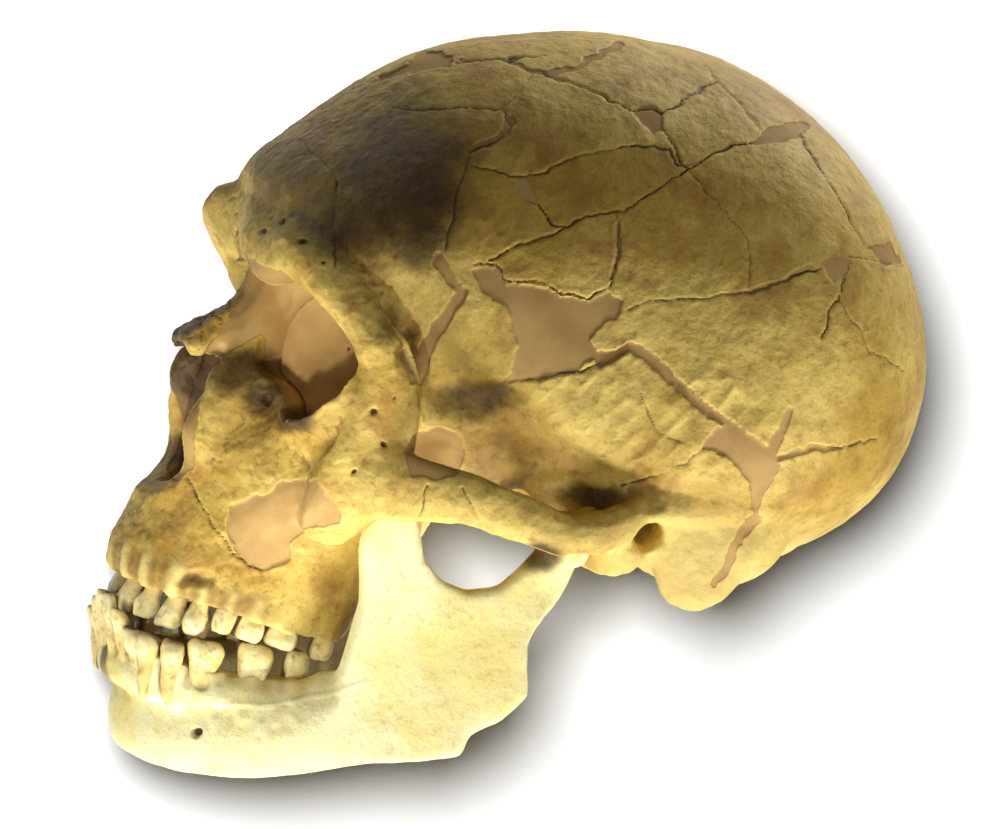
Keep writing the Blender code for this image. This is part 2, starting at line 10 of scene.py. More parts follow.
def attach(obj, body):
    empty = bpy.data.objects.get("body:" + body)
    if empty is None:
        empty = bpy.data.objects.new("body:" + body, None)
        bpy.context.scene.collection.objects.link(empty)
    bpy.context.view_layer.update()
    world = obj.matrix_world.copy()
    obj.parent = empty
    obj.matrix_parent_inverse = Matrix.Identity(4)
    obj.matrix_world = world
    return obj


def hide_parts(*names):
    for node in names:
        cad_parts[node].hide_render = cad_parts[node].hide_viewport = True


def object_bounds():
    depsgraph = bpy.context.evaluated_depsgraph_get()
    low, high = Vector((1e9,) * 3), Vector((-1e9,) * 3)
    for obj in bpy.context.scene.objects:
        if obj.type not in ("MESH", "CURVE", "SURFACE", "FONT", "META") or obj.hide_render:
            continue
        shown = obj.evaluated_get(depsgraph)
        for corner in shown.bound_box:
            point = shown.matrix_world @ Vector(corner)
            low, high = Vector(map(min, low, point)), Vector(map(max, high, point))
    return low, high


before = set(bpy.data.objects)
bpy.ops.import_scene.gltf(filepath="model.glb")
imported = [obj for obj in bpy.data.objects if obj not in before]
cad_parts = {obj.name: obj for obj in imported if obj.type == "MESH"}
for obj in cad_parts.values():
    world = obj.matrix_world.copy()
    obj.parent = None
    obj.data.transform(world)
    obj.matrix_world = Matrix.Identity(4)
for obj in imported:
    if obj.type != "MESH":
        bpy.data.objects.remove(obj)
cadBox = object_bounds()
print("frame loaded")

# The skull's own frame: millimetres, x to the back of the head, y to its right and z up.
# The pose lays it on the floor.
pose = {
    "x": (0.982921, 0.181632, 0.029585),
    "y": (0.0, -0.160768, 0.986992),
    "z": (0.184026, -0.970136, -0.158022),
    "origin": (0.01767, -0.008596, 0.082296),
}
poseTurn = np.array([pose["x"], pose["y"], pose["z"]])
poseOrigin = np.array(pose["origin"])


def toSkull(points):
    return (points - poseOrigin) @ poseTurn * 1000


def toWorld(points):
    return np.asarray(points) / 1000 @ poseTurn.T + poseOrigin


# the camera stands where the photo's did
view = {
    "around": 20.0,       # degrees the camera stands in front of the skull's left side
    "above": 5.0,
    "roll": 16.0,
    "mmPerPixel": 0.277,
    "earSide": -66.0,     # the left ear opening, and where it is in the picture
    "earPixel": (642, 518),
    "centre": (500, 414.5),
    "width": 1000,
    "lens": 600.0,
    "sensor": 36.0,
    "farthest": 100,      # metres that it sees
}


def viewAxes():
    a, e, r = (math.radians(view[key]) for key in ("around", "above", "roll"))
    near = np.array((-math.sin(a) * math.cos(e), -math.cos(a) * math.cos(e), math.sin(e)))
    right = np.array((math.cos(a), -math.sin(a), 0.0))
    up = np.array((math.sin(a) * math.sin(e), math.cos(a) * math.sin(e), math.cos(e)))
    return (math.cos(r) * right + math.sin(r) * up,
            math.cos(r) * up - math.sin(r) * right, near)


imageRight, imageUp, imageNear = viewAxes()
viewDistance = view["mmPerPixel"] * view["width"] * view["lens"] / view["sensor"]
earOffset = [(view["centre"][k] - view["earPixel"][k]) * view["mmPerPixel"] for k in (0, 1)]
target = np.array((0, view["earSide"], 0)) + earOffset[0] * imageRight - earOffset[1] * imageUp
target -= target @ imageNear * imageNear
viewPlace = target + viewDistance * imageNear


def toPhoto(points):
    offset = points - viewPlace
    scale = view["width"] * view["lens"] / view["sensor"] / -(offset @ imageNear)
    return np.stack([view["centre"][0] + offset @ imageRight * scale,
                     view["centre"][1] - offset @ imageUp * scale], axis=1)


def link(name, data):
    item = bpy.data.objects.new(name, data)
    bpy.context.scene.collection.objects.link(item)
    return item


def placeCamera():
    camera = link("camera", bpy.data.cameras.new("camera"))
    camera.data.lens = view["lens"]
    camera.data.sensor_width = view["sensor"]
    camera.data.clip_end = view["farthest"]
    turn = Matrix([poseTurn @ axis for axis in (imageRight, imageUp, imageNear)]).transposed()
    camera.matrix_world = Matrix.Translation(toWorld(viewPlace)) @ turn.to_4x4()
    bpy.context.scene.camera = camera


placeCamera()
print("camera placed")


def fromBmesh(name, shape):
    mesh = bpy.data.meshes.new(name)
    shape.to_mesh(mesh)
    shape.free()
    return link(name, mesh)


def applied(piece):
    graph = bpy.context.evaluated_depsgraph_get()
    graph.update()
    mesh = bpy.data.meshes.new_from_object(piece.evaluated_get(graph))
    piece.modifiers.clear()
    piece.data = mesh


def discard(pieces):
    for piece in pieces:
        bpy.data.objects.remove(piece)


def cutAway(piece, cutters):
    # every cutter in one go, and the cutters are then removed
    group = bpy.data.collections.new("cutters")
    for cutter in cutters:
        group.objects.link(cutter)
    cut = piece.modifiers.new("cut", "BOOLEAN")
    cut.operation = "DIFFERENCE"
    cut.operand_type = "COLLECTION"
    cut.collection = group
    cut.solver = "MANIFOLD"
    applied(piece)
    discard(cutters)
    bpy.data.collections.remove(group)


def read(items, key, width=3, kind=np.float32):
    values = np.empty(len(items) * width, kind)
    items.foreach_get(key, values)
    return values.reshape(-1, width)


def readPoints(mesh):
    return read(mesh.vertices, "co").astype(float)


def skullPoints(mesh):
    return toSkull(readPoints(mesh))


def skullNormals(mesh):
    return read(mesh.vertex_normals, "vector").astype(float) @ poseTurn


def readEdges(mesh):
    return read(mesh.edges, "vertices", 2, np.int32)


def movePoints(mesh, points):
    mesh.vertices.foreach_set("co", np.asarray(toWorld(points), np.float32).ravel())
    mesh.update()


def writeValues(mesh, values):
    for name, value in values.items():
        layer = mesh.attributes.get(name) or mesh.attributes.new(name, "FLOAT", "POINT")
        layer.data.foreach_set("value", np.asarray(value, np.float32))


def neighbourSum(edges, values):
    # for each point, the sum of the values at the other ends of its edges
    first, second = edges.T
    return (np.bincount(first, weights=values[second], minlength=len(values))
            + np.bincount(second, weights=values[first], minlength=len(values)))


def joinedSets(edges, count):
    # the same number for all the points that edges join
    label = np.arange(count)
    ends = edges
    while len(ends):
        np.minimum.at(label, ends.max(axis=1), ends.min(axis=1))
        following = label[label]
        while (following != label).any():
            label, following = following, following[following]
        ends = label[ends]
        ends = ends[ends[:, 0] != ends[:, 1]]
    return label


def keepLargest(piece):
    mesh = piece.data
    label = joinedSets(readEdges(mesh), len(mesh.vertices))
    largest = np.bincount(label).argmax()
    if (label == largest).all():
        return
    shape = bmesh.new()
    shape.from_mesh(mesh)
    scraps = [vert for vert, mark in zip(shape.verts, label) if mark != largest]
    bmesh.ops.delete(shape, geom=scraps, context="VERTS")
    shape.to_mesh(mesh)
    shape.free()


def prism(outline, low, high):
    # a closed block over an outline of x, z points, between two values of y
    shape = bmesh.new()
    rim = [shape.verts.new((x, low, z)) for x, z in outline]
    face = shape.faces.new(rim)
    grown = bmesh.ops.extrude_face_region(shape, geom=[face])["geom"]
    moved = [item for item in grown if isinstance(item, bmesh.types.BMVert)]
    bmesh.ops.translate(shape, verts=moved, vec=(0, high - low, 0))
    bmesh.ops.recalc_face_normals(shape, faces=shape.faces)
    bmesh.ops.triangulate(shape, faces=shape.faces)
    return settled(shape, "prism")


def settled(shape, name):
    # from the skull's frame into the scene
    for vert in shape.verts:
        vert.co = Vector(toWorld(np.array(vert.co)))
    return fromBmesh(name, shape)


def grain(points, size, seed=0):
    # smooth random numbers from -1 to 1 that change over a distance of size
    turned = points @ np.array(((0.36, 0.48, -0.8), (-0.8, 0.6, 0.0), (0.48, 0.64, 0.6)))
    spots = turned / size + 31.7 * seed + 5.3
    cell = np.floor(spots).astype(np.int32)
    part = (spots - cell).astype(np.float32)
    part = part * part * part * (part * (part * 6 - 15) + 10)
    keys = [(cell[:, k] * prime, cell[:, k] * prime + prime)
            for k, prime in enumerate(np.array((73856093, 19349663, 83492791), np.int32))]
    total = np.zeros(len(points), np.float32)
    for corner in range(8):
        a, b, c = (corner >> k & 1 for k in range(3))
        mixed = keys[0][a] ^ keys[1][b] ^ keys[2][c]
        mixed = (mixed ^ (mixed >> 13)) * np.int32(1274126177)
        share = ((part[:, 0] if a else 1 - part[:, 0]) * (part[:, 1] if b else 1 - part[:, 1])
                 * (part[:, 2] if c else 1 - part[:, 2]))
        total += ((mixed >> 9) & 0xFFFF) * share
    return total / 32767.5 - 1


def ridged(points, size, seed=0):
    return 1 - 2 * np.abs(grain(points, size, seed))


def eased(values, low, high):
    # 0 below low, 1 above high, and smooth between
    part = np.clip((values - low) / (high - low), 0, 1)
    return part * part * (3 - 2 * part)


def lineReach(spots, lines, limit):
    # the distance in picture pixels to the nearest line, up to limit
    found = np.full(len(spots), float(limit))
    for line in lines:
        line = np.array(line, float)
        for start, end in zip(line, line[1:]):
            low, high = np.minimum(start, end) - limit, np.maximum(start, end) + limit
            near = np.flatnonzero(((spots > low) & (spots < high)).all(axis=1))
            way = end - start
            offset = spots[near] - start
            part = np.clip(offset @ way / (way @ way + 1e-9), 0, 1)
            away = np.linalg.norm(offset - part[:, None] * way, axis=1)
            found[near] = np.minimum(found[near], away)
    return found


def inside(spots, outline):
    outline = np.array(outline, float)
    found = np.zeros(len(spots), bool)
    for start, end in zip(outline, np.roll(outline, -1, axis=0)):
        if start[1] == end[1]:
            continue
        between = (spots[:, 1] > start[1]) != (spots[:, 1] > end[1])
        cross = start[0] + (spots[:, 1] - start[1]) / (end[1] - start[1]) * (end[0] - start[0])
        found ^= between & (spots[:, 0] < cross)
    return found


def patchDepth(spots, outline, limit=12):
    # how far inside an outline each spot is, in pixels, negative outside
    away = lineReach(spots, [[*outline, outline[0]]], limit)
    return np.where(inside(spots, outline), away, -away)


# marks on the bone, drawn in the photo's pixels
fineCracks = [
    [(471, 150), (465, 172), (456, 193), (449, 237), (447, 252)],
    [(488, 261), (519, 246), (566, 230), (588, 217), (619, 213), (640, 202), (671, 180),
     (688, 170), (705, 161), (730, 146), (747, 144)],
    [(800, 138), (821, 167), (842, 203), (865, 243)],
    [(617, 215), (619, 237), (614, 276), (610, 287)],
    [(558, 163), (601, 148), (655, 145), (668, 150), (681, 163)],
    [(471, 167), (510, 176), (536, 176), (558, 163)],
    [(540, 204), (553, 226), (566, 230)],
    [(393, 107), (434, 109), (499, 107), (512, 100), (523, 87), (532, 74)],
    [(454, 63), (510, 60), (547, 55)],
    [(547, 74), (567, 83), (588, 92), (610, 100), (632, 107), (662, 111)],
    [(662, 113), (692, 96), (718, 81)],
    [(664, 133), (673, 146), (688, 167)],
    [(473, 265), (497, 265), (504, 280), (549, 283), (564, 293), (586, 297), (606, 289)],
    [(627, 310), (653, 302), (701, 298), (752, 292), (785, 279), (819, 268)],
    [(848, 256), (869, 259), (903, 266)],
    [(846, 281), (834, 306), (827, 329), (821, 338)],
    [(525, 382), (572, 373), (600, 362)],
    [(777, 460), (810, 448), (843, 448), (878, 439)],
    [(236, 211), (237, 237)],
    [(338, 180), (333, 222), (335, 266)],
    [(187, 480), (209, 518), (228, 545), (252, 569), (264, 572)],
    [(428, 486), (417, 521)],
    [(461, 486), (478, 519)],
    [(702, 451), (687, 463), (654, 477), (621, 486)],
    [(471, 150), (489, 144), (504, 137), (512, 128), (501, 107)],
]
faintCracks = [
    [(300, 140), (338, 180)],
    [(700, 60), (735, 100), (760, 128)],
    [(688, 170), (720, 205), (748, 240), (752, 292)],
    [(840, 300), (872, 350), (905, 372)],
    [(300, 330), (285, 352)],
    [(640, 395), (655, 430), (690, 445)],
]
plasterSeams = [
    (2.6, [(380, 80), (402, 72), (425, 52)]),
    (2.6, [(510, 61), (532, 72), (547, 74), (575, 67), (597, 57), (619, 44)]),
    (3.5, [(471, 150), (504, 137), (512, 120)]),
    (5.0, [(600, 359), (629, 347), (648, 357), (669, 376), (693, 397), (718, 418), (742, 437),
           (772, 458)]),
    (4.0, [(772, 458), (779, 432), (789, 412)]),
    (4.5, [(756, 519), (735, 543), (725, 573), (716, 583)]),
    (2.4, [(777, 460), (810, 448), (843, 448)]),
    (3.0, [(617, 225), (618, 245), (614, 276)]),
    (6.0, [(440, 262), (462, 292), (430, 340), (417, 378), (412, 352)]),
    (2.4, [(810, 268), (785, 279), (752, 292)]),
    (2.0, [(681, 163), (705, 161), (730, 146)]),
]
plasterPatches = [
    [(404, 72), (425, 52), (454, 55), (448, 66), (420, 70)],
    [(634, 107), (650, 105), (664, 112), (664, 131), (650, 133), (640, 122)],
    [(747, 146), (770, 126), (800, 119), (810, 124), (798, 140), (770, 142)],
    [(510, 178), (530, 184), (540, 204), (524, 200)],
    [(819, 262), (836, 254), (850, 262), (846, 281), (832, 285)],
    [(869, 246), (890, 243), (903, 262), (884, 266)],
    [(702, 451), (716, 427), (744, 432), (772, 458), (779, 465), (768, 489), (756, 519),
     (749, 481), (725, 453)],
    [(470, 268), (497, 268), (504, 283), (549, 287), (564, 297), (586, 300), (606, 293),
     (624, 300), (616, 318), (598, 330), (590, 342), (598, 356), (572, 373), (525, 382),
     (500, 386), (510, 374), (518, 345), (505, 306), (480, 292)],
    [(404, 450), (412, 434), (436, 427), (458, 434), (466, 452), (458, 474), (436, 481),
     (412, 474)],
    [(226, 529), (232, 506), (268, 492), (280, 480), (313, 480), (339, 510), (341, 525),
     (307, 529), (288, 541), (292, 559), (264, 572), (244, 561)],
    [(240, 238), (245, 256), (262, 267), (284, 272), (318, 302), (330, 330), (282, 352), (262, 336),
     (235, 346), (212, 362), (202, 390), (198, 430), (190, 470), (174, 480),
     (168, 470), (184, 430), (191, 388), (204, 352), (234, 308), (243, 290), (238, 262)],
]
smallHoles = [            # u, v, radius in pixels, depth in mm
    (282, 222, 3.0, 1.0), (302, 241, 3.2, 1.1), (371, 412, 3.6, 1.2), (384, 444, 3.2, 1.2),
    (197, 732, 5.0, 2.6), (262, 232, 2.4, 0.8), (322, 262, 2.4, 0.8), (396, 398, 2.2, 0.7),
    (352, 470, 2.4, 0.9), (268, 398, 6.0, 2.2), (345, 350, 2.0, 0.6),
]
hollowsAndShade = [               # u, v, half width, half height, depth in mm, how dark its painted shade is; a depth of 0 gives painted shade alone
    (500, 394, 30, 18, 1.6, 0.6), (590, 495, 54, 17, 2.4, 0.8), (408, 352, 16, 40, 1.6, 0.5),
    (196, 579, 22, 10, 1.4, 0.5), (655, 505, 18, 10, 0.8, 0.4), (541, 557, 32, 24, 0.3, 1.0),
    (166, 682, 7, 17, 3.0, 1.0), (202, 682, 8, 9, 3.0, 1.0), (140, 655, 5, 14, 1.6, 0.8),
    (235, 640, 6, 8, 1.8, 0.6), (250, 368, 54, 33, 0.6, 1.0),
    # painted shade below the eye socket
    (232, 378, 42, 30, 0.0, 0.95), (262, 396, 38, 30, 0.0, 0.95), (292, 420, 32, 24, 0.0, 0.95),
    (468, 400, 74, 32, 0.5, 0.75), (500, 462, 66, 46, 0.0, 0.5),
    # painted shade over the forehead and temple
    (400, 175, 112, 118, 0.0, 1.0), (345, 215, 80, 72, 0.0, 0.85), (420, 238, 62, 50, 0.0, 0.85),
    (300, 160, 84, 70, 0.0, 0.6), (390, 320, 24, 40, 0.0, 0.5),
]


def warped(spots, points, amount):
    # the same spots moved a little, so that no drawn line stays straight
    shift = np.stack([grain(points, 5.0, 41) + 0.6 * grain(points, 1.8, 43),
                      grain(points, 5.0, 47) + 0.6 * grain(points, 1.8, 53)], axis=1)
    return spots + amount * shift


def bothSides(points, normals):
    # each point's place in the picture, seen straight or as if the skull were mirrored,
    # and how fully it faces the camera
    flip = np.array((1, -1, 1))
    facing = eased(normals @ imageNear, 0.02, 0.2) * eased(-points[:, 1], -34, -18)
    mirrorFacing = eased((normals * flip) @ imageNear, 0.02, 0.2) * (1 - facing)
    mirrorFacing *= eased(points[:, 1], -14, 2)
    for place, share in ((points, facing), (points * flip, mirrorFacing)):
        shown = np.flatnonzero(share > 0)
        yield shown, toPhoto(place[shown]), share[shown], points[shown]


# teeth in mm: x, distance from the midline, z of the worn edge, half width, half depth
upperTeeth = [
    (-114.8, 4.4, -65.6, 4.1, 3.0), (-112.0, 11.9, -65.2, 3.7, 3.1),
    (-108.0, 19.0, -65.6, 4.0, 4.1), (-102.3, 24.2, -65.0, 3.3, 4.6),
    (-96.0, 27.3, -62.4, 3.3, 4.8), (-88.6, 29.4, -62.6, 4.2, 5.4),
    (-79.4, 30.4, -62.4, 5.0, 5.6), (-67.6, 30.4, -62.8, 3.4, 4.6),
]
lowerTeeth = [
    (-121.0, 3.3, -61.6, 3.0, 2.6), (-119.8, 9.7, -64.4, 2.9, 2.6),
    (-116.8, 16.2, -68.0, 3.4, 3.5), (-113.0, 21.2, -68.0, 3.3, 4.0),
    (-106.8, 24.6, -67.6, 3.5, 4.3), (-98.6, 27.2, -64.9, 5.4, 5.3),
    (-85.2, 29.4, -62.6, 5.6, 5.3), (-73.8, 30.8, -61.4, 3.6, 4.8),
]


arch = {
    "halfWidth": 27.0,
    "turn": 80.0,          # degrees from the front teeth's line to the back teeth's
    "front": 23.0,         # front teeth, with long roots, stand nearer to the midline
    "backRoot": 0.6,       # share of length and swelling that a back root has
    "gap": 0.45,           # how much the bone sinks between two roots
}


def alongArch(out, side):
    turn = math.radians(min(out / arch["halfWidth"], 1.0) * arch["turn"])
    return np.array((math.sin(turn), math.cos(turn) * side, 0.0))


def rootRidges(points, teeth, neck, length, amount):
    # how far the bone swells over each root, and sinks between two roots
    swell = np.zeros(len(points))
    near = np.zeros(len(points))
    for side in (-1, 1):
        for x, out, edge, along, deep in teeth:
            share = 1.0 if out < arch["front"] else arch["backRoot"]
            way = alongArch(out, side)
            outward = np.array((-way[1] * side, way[0] * side, 0.0))
            offset = points - (x, out * side, 0)
            s, o = offset @ way, offset @ outward
            rise = (points[:, 2] - neck(x)) * (1 if length > 0 else -1)
            span = abs(length) * share
            cover = (eased(o, -1.0, 2.5) * eased(-o, -14, -9) * eased(rise, -6, -1)
                     * (1 - eased(rise, 0.45 * span, span)))
            ridge = np.exp(-(s / (0.62 * along)) ** 2) * cover
            swell += ridge * share
            near = np.maximum(near, cover * np.exp(-(s / (1.5 * along)) ** 2))
    return amount * (swell - arch["gap"] * near), np.clip(swell, 0, 1), near


# the skull's bones as one fine surface
surface = {
    "voxel": 0.64,
    "quickVoxel": 1.2,
    "overlap": 0.24,       # mm each CAD bone is pushed out, which closes the gaps between them
    "softness": 0.9,       # mm of smoothing everywhere
    "vaultSoftness": 3.2,  # mm of smoothing on the braincase
    "jawSoftness": 1.5,    # mm of smoothing on the lower jaw
    "toothCut": -56.0,     # z below which the CAD's upper teeth are cut off
    "fragment": 300,       # a piece of bone with fewer points gets no level of its own
}
voxel = surface["voxel"]
cranialNames = [name for name in sorted(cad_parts) if name != "mandible"]


def nodeCopy(name, overlap):
    shape = bmesh.new()
    shape.from_mesh(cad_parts[name].data)
    bmesh.ops.remove_doubles(shape, verts=shape.verts, dist=1e-6)
    shape.normal_update()
    for vert, push in [(vert, vert.normal * overlap / 1000) for vert in shape.verts]:
        vert.co += push
    return fromBmesh(name + "Copy", shape)


def joined(name, pieces):
    shape = bmesh.new()
    for piece in pieces:
        shape.from_mesh(piece.data)
    discard(pieces)
    return fromBmesh(name, shape)


def refined(piece, softness):
    # a fine even mesh over the piece, smoothed by a number of millimetres
    remesh = piece.modifiers.new("fine", "REMESH")
    remesh.mode = "VOXEL"
    remesh.voxel_size = voxel / 1000
    applied(piece)
    keepLargest(piece)
    return softened(piece, softness)


def softened(piece, softness, weights=None):
    soften = piece.modifiers.new("soften", "SMOOTH")
    soften.factor = 0.5
    soften.iterations = max(1, round(4 * (softness / voxel) ** 2))
    if weights is not None:
        group = piece.vertex_groups.new(name="soft")
        for step in range(1, 11):
            chosen = np.flatnonzero(np.round(weights * 10) == step)
            group.add(chosen.tolist(), step / 10, "REPLACE")
        soften.vertex_group = "soft"
    applied(piece)
    piece.vertex_groups.clear()
    return piece


def makeCranium():
    copies = []
    low, high = surface["toothCut"] - 20, surface["toothCut"]
    for name in cranialNames:
        copy = nodeCopy(name, surface["overlap"])
        if name.startswith("maxilla") or name == "sphenoid":
            cutAway(copy, [prism([(-130, low), (-50, low), (-50, high - 0.5), (-80, high - 1.5),
                                  (-92, high), (-130, high + 0.5)], -45, 45)])
        copies.append(copy)
    cranium = refined(joined("cranium", copies), surface["softness"])
    points = skullPoints(cranium.data)
    vault = eased(points[:, 0], -88, -62) * eased(points[:, 2], 14, 34)
    behind = eased(points[:, 0], 26, 42) * eased(points[:, 2], -16, 4)
    return softened(cranium, surface["vaultSoftness"], np.maximum(vault, behind))


def makeJaw():
    jaw = nodeCopy("mandible", 0.0)
    cutAway(jaw, [prism([(-128, -73.5), (-100, -73), (-80, -70.5), (-68.7, -68), (-68.7, -50),
                         (-128, -50)], -37, 37)])
    return refined(jaw, surface["jawSoftness"])


cranium = makeCranium()
jaw = makeJaw()
print("fine surfaces made:", len(cranium.data.vertices), len(jaw.data.vertices), "points")

relief = {
    "wave": 0.35,          # mm, slow unevenness of all the bone
    "bumps": 0.16,
    "fine": 0.07,
    "crackDepth": 0.62,
    "crackHalf": 1.25,     # pixels
    "faintDepth": 0.3,
    "plasterDepth": 0.4,
    "step": 0.22,          # mm between one fragment's level and the next
    "warp": 2.4,           # pixels that drawn lines wander
    "pocket": 0.25,        # mm below its surroundings at which a spot is fully a pocket
}


def cavity(mesh, points, normals):
    # from -1 where a point stands above its wider surroundings to 1 where it lies below them
    edges = readEdges(mesh)
    mean = points.copy()
    count = neighbourSum(edges, np.ones(len(points)))
    for _ in range(max(3, round(10 * (surface["voxel"] / voxel) ** 2))):
        total = np.stack([neighbourSum(edges, mean[:, axis]) for axis in range(3)], axis=1)
        mean = 0.5 * mean + 0.5 * total / count[:, None]
    return np.clip(((mean - points) * normals).sum(axis=1) / relief["pocket"], -1, 1)


def fragments(mesh, barrier):
    # a random number for each piece of bone between the cracks
    edges = readEdges(mesh)
    free = ~(barrier[edges[:, 0]] | barrier[edges[:, 1]])
    label = joinedSets(edges[free], len(barrier))
    _, index, sizes = np.unique(label, return_inverse=True, return_counts=True)
    chance = np.random.default_rng(7).uniform(-1, 1, len(sizes))
    chance[sizes < surface["fragment"] * (surface["voxel"] / voxel) ** 2] = 0
    value = chance[index]
    known = (~barrier).astype(float)
    value = value * known
    for _ in range(12):     # the bands along the cracks take on their neighbours' numbers
        total, share = neighbourSum(edges, value), neighbourSum(edges, known)
        fresh = (known < 0.5) & (share > 0)
        value[fresh] = total[fresh] / share[fresh]
        known[fresh] = 1
    return value


def raiseTo(values, shown, level):
    values[shown] = np.maximum(values[shown], level)


def sinkHolesAndShade(shown, spots, facing, hole, sink, dark):
    for u, v, radius, depth in smallHoles:
        away = np.hypot(spots[:, 0] - u, spots[:, 1] - v)
        pit = facing * (1 - eased(away, 0.45 * radius, 1.3 * radius))
        raiseTo(hole, shown, pit)
        sink[shown] += depth * pit
    for u, v, wide, tall, depth, shade in hollowsAndShade:
        away = np.hypot((spots[:, 0] - u) / wide, (spots[:, 1] - v) / tall)
        dip = facing * (1 - eased(away, 0.2, 1.1))
        sink[shown] += depth * dip
        # the hollow and the zone round it get painted shade
        raiseTo(dark, shown, shade * dip)


pulls = [  # centre, reach and shift in mm, and whether the other side moves as well
    ((-104.0, -14.0, 1.0), 14.0, (-5.0, 0.5, 0.0), False),
    ((-110.5, -13.5, -12.0), 13.0, (-5.5, 1.5, 0.0), False),
    ((-110.0, 13.0, 3.0), 12.0, (-5.0, -1.0, 0.0), False),
    ((-116.0, 14.0, -19.0), 17.0, (8.0, 0.0, 0.0), False),
    ((-116.5, 18.0, 40.0), 24.0, (6.0, 0.0, 0.0), False),
    ((-112.0, 6.0, 24.0), 12.0, (2.5, 0.0, 0.0), False),
    ((-118.0, 0.0, 44.0), 16.0, (1.6, 0.0, 0.0), False),
    ((-100.0, 24.0, 2.0), 14.0, (5.0, 0.0, 3.5), True),
    ((-103.0, 25.0, -9.0), 16.0, (-3.5, 0.0, -1.0), True),
    ((-110.0, 24.0, 42.0), 14.0, (0.0, 0.0, -4.5), True),
    ((-87.0, 48.0, 18.0), 15.0, (4.5, 0.0, 0.0), True),
]
jawPulls = [
    ((-11.0, 48.0, -40.0), 21.0, (-5.0, 0.0, 0.0), True),
]


orbit = {
    "centre": (-93.5, 34.5, 18.5),
    "turn": 20.0,          # degrees that its axis turns outwards
    "depth": 44.0,         # mm from the opening to the tip of its cone
    "filled": 0.82,        # share of the depth that plaster takes
}


def socketFrame(points, side):
    x, y, z = orbit["centre"]
    return points - (x, y * side, z), math.radians(orbit["turn"]) * side


def filledOrbits(points):
    # the plaster in the eye sockets makes them shallower
    moved = points.copy()
    for side in (-1, 1):
        offset, turn = socketFrame(points, side)
        way = np.array((math.cos(turn), -math.sin(turn), 0.0))
        along = offset @ way
        rest = np.linalg.norm(offset - along[:, None] * way, axis=1)
        held = eased(along, 3, 12) * (1 - eased(rest / np.sqrt(
            np.maximum(1 - (along / orbit["depth"]) ** 2, 0.01)), 21.5, 24.5))
        moved -= (held * orbit["filled"] * (along - 3))[:, None] * way
    return moved


def pulled(points, moves):
    moved = points.copy()
    for centre, reach, shift, both in moves:
        for side in (1, -1) if both else (1,):
            place = (centre[0], centre[1] * side, centre[2])
            share = 1 - eased(np.linalg.norm(points - place, axis=1), 0.15 * reach, reach)
            moved += share[:, None] * shift
    return moved


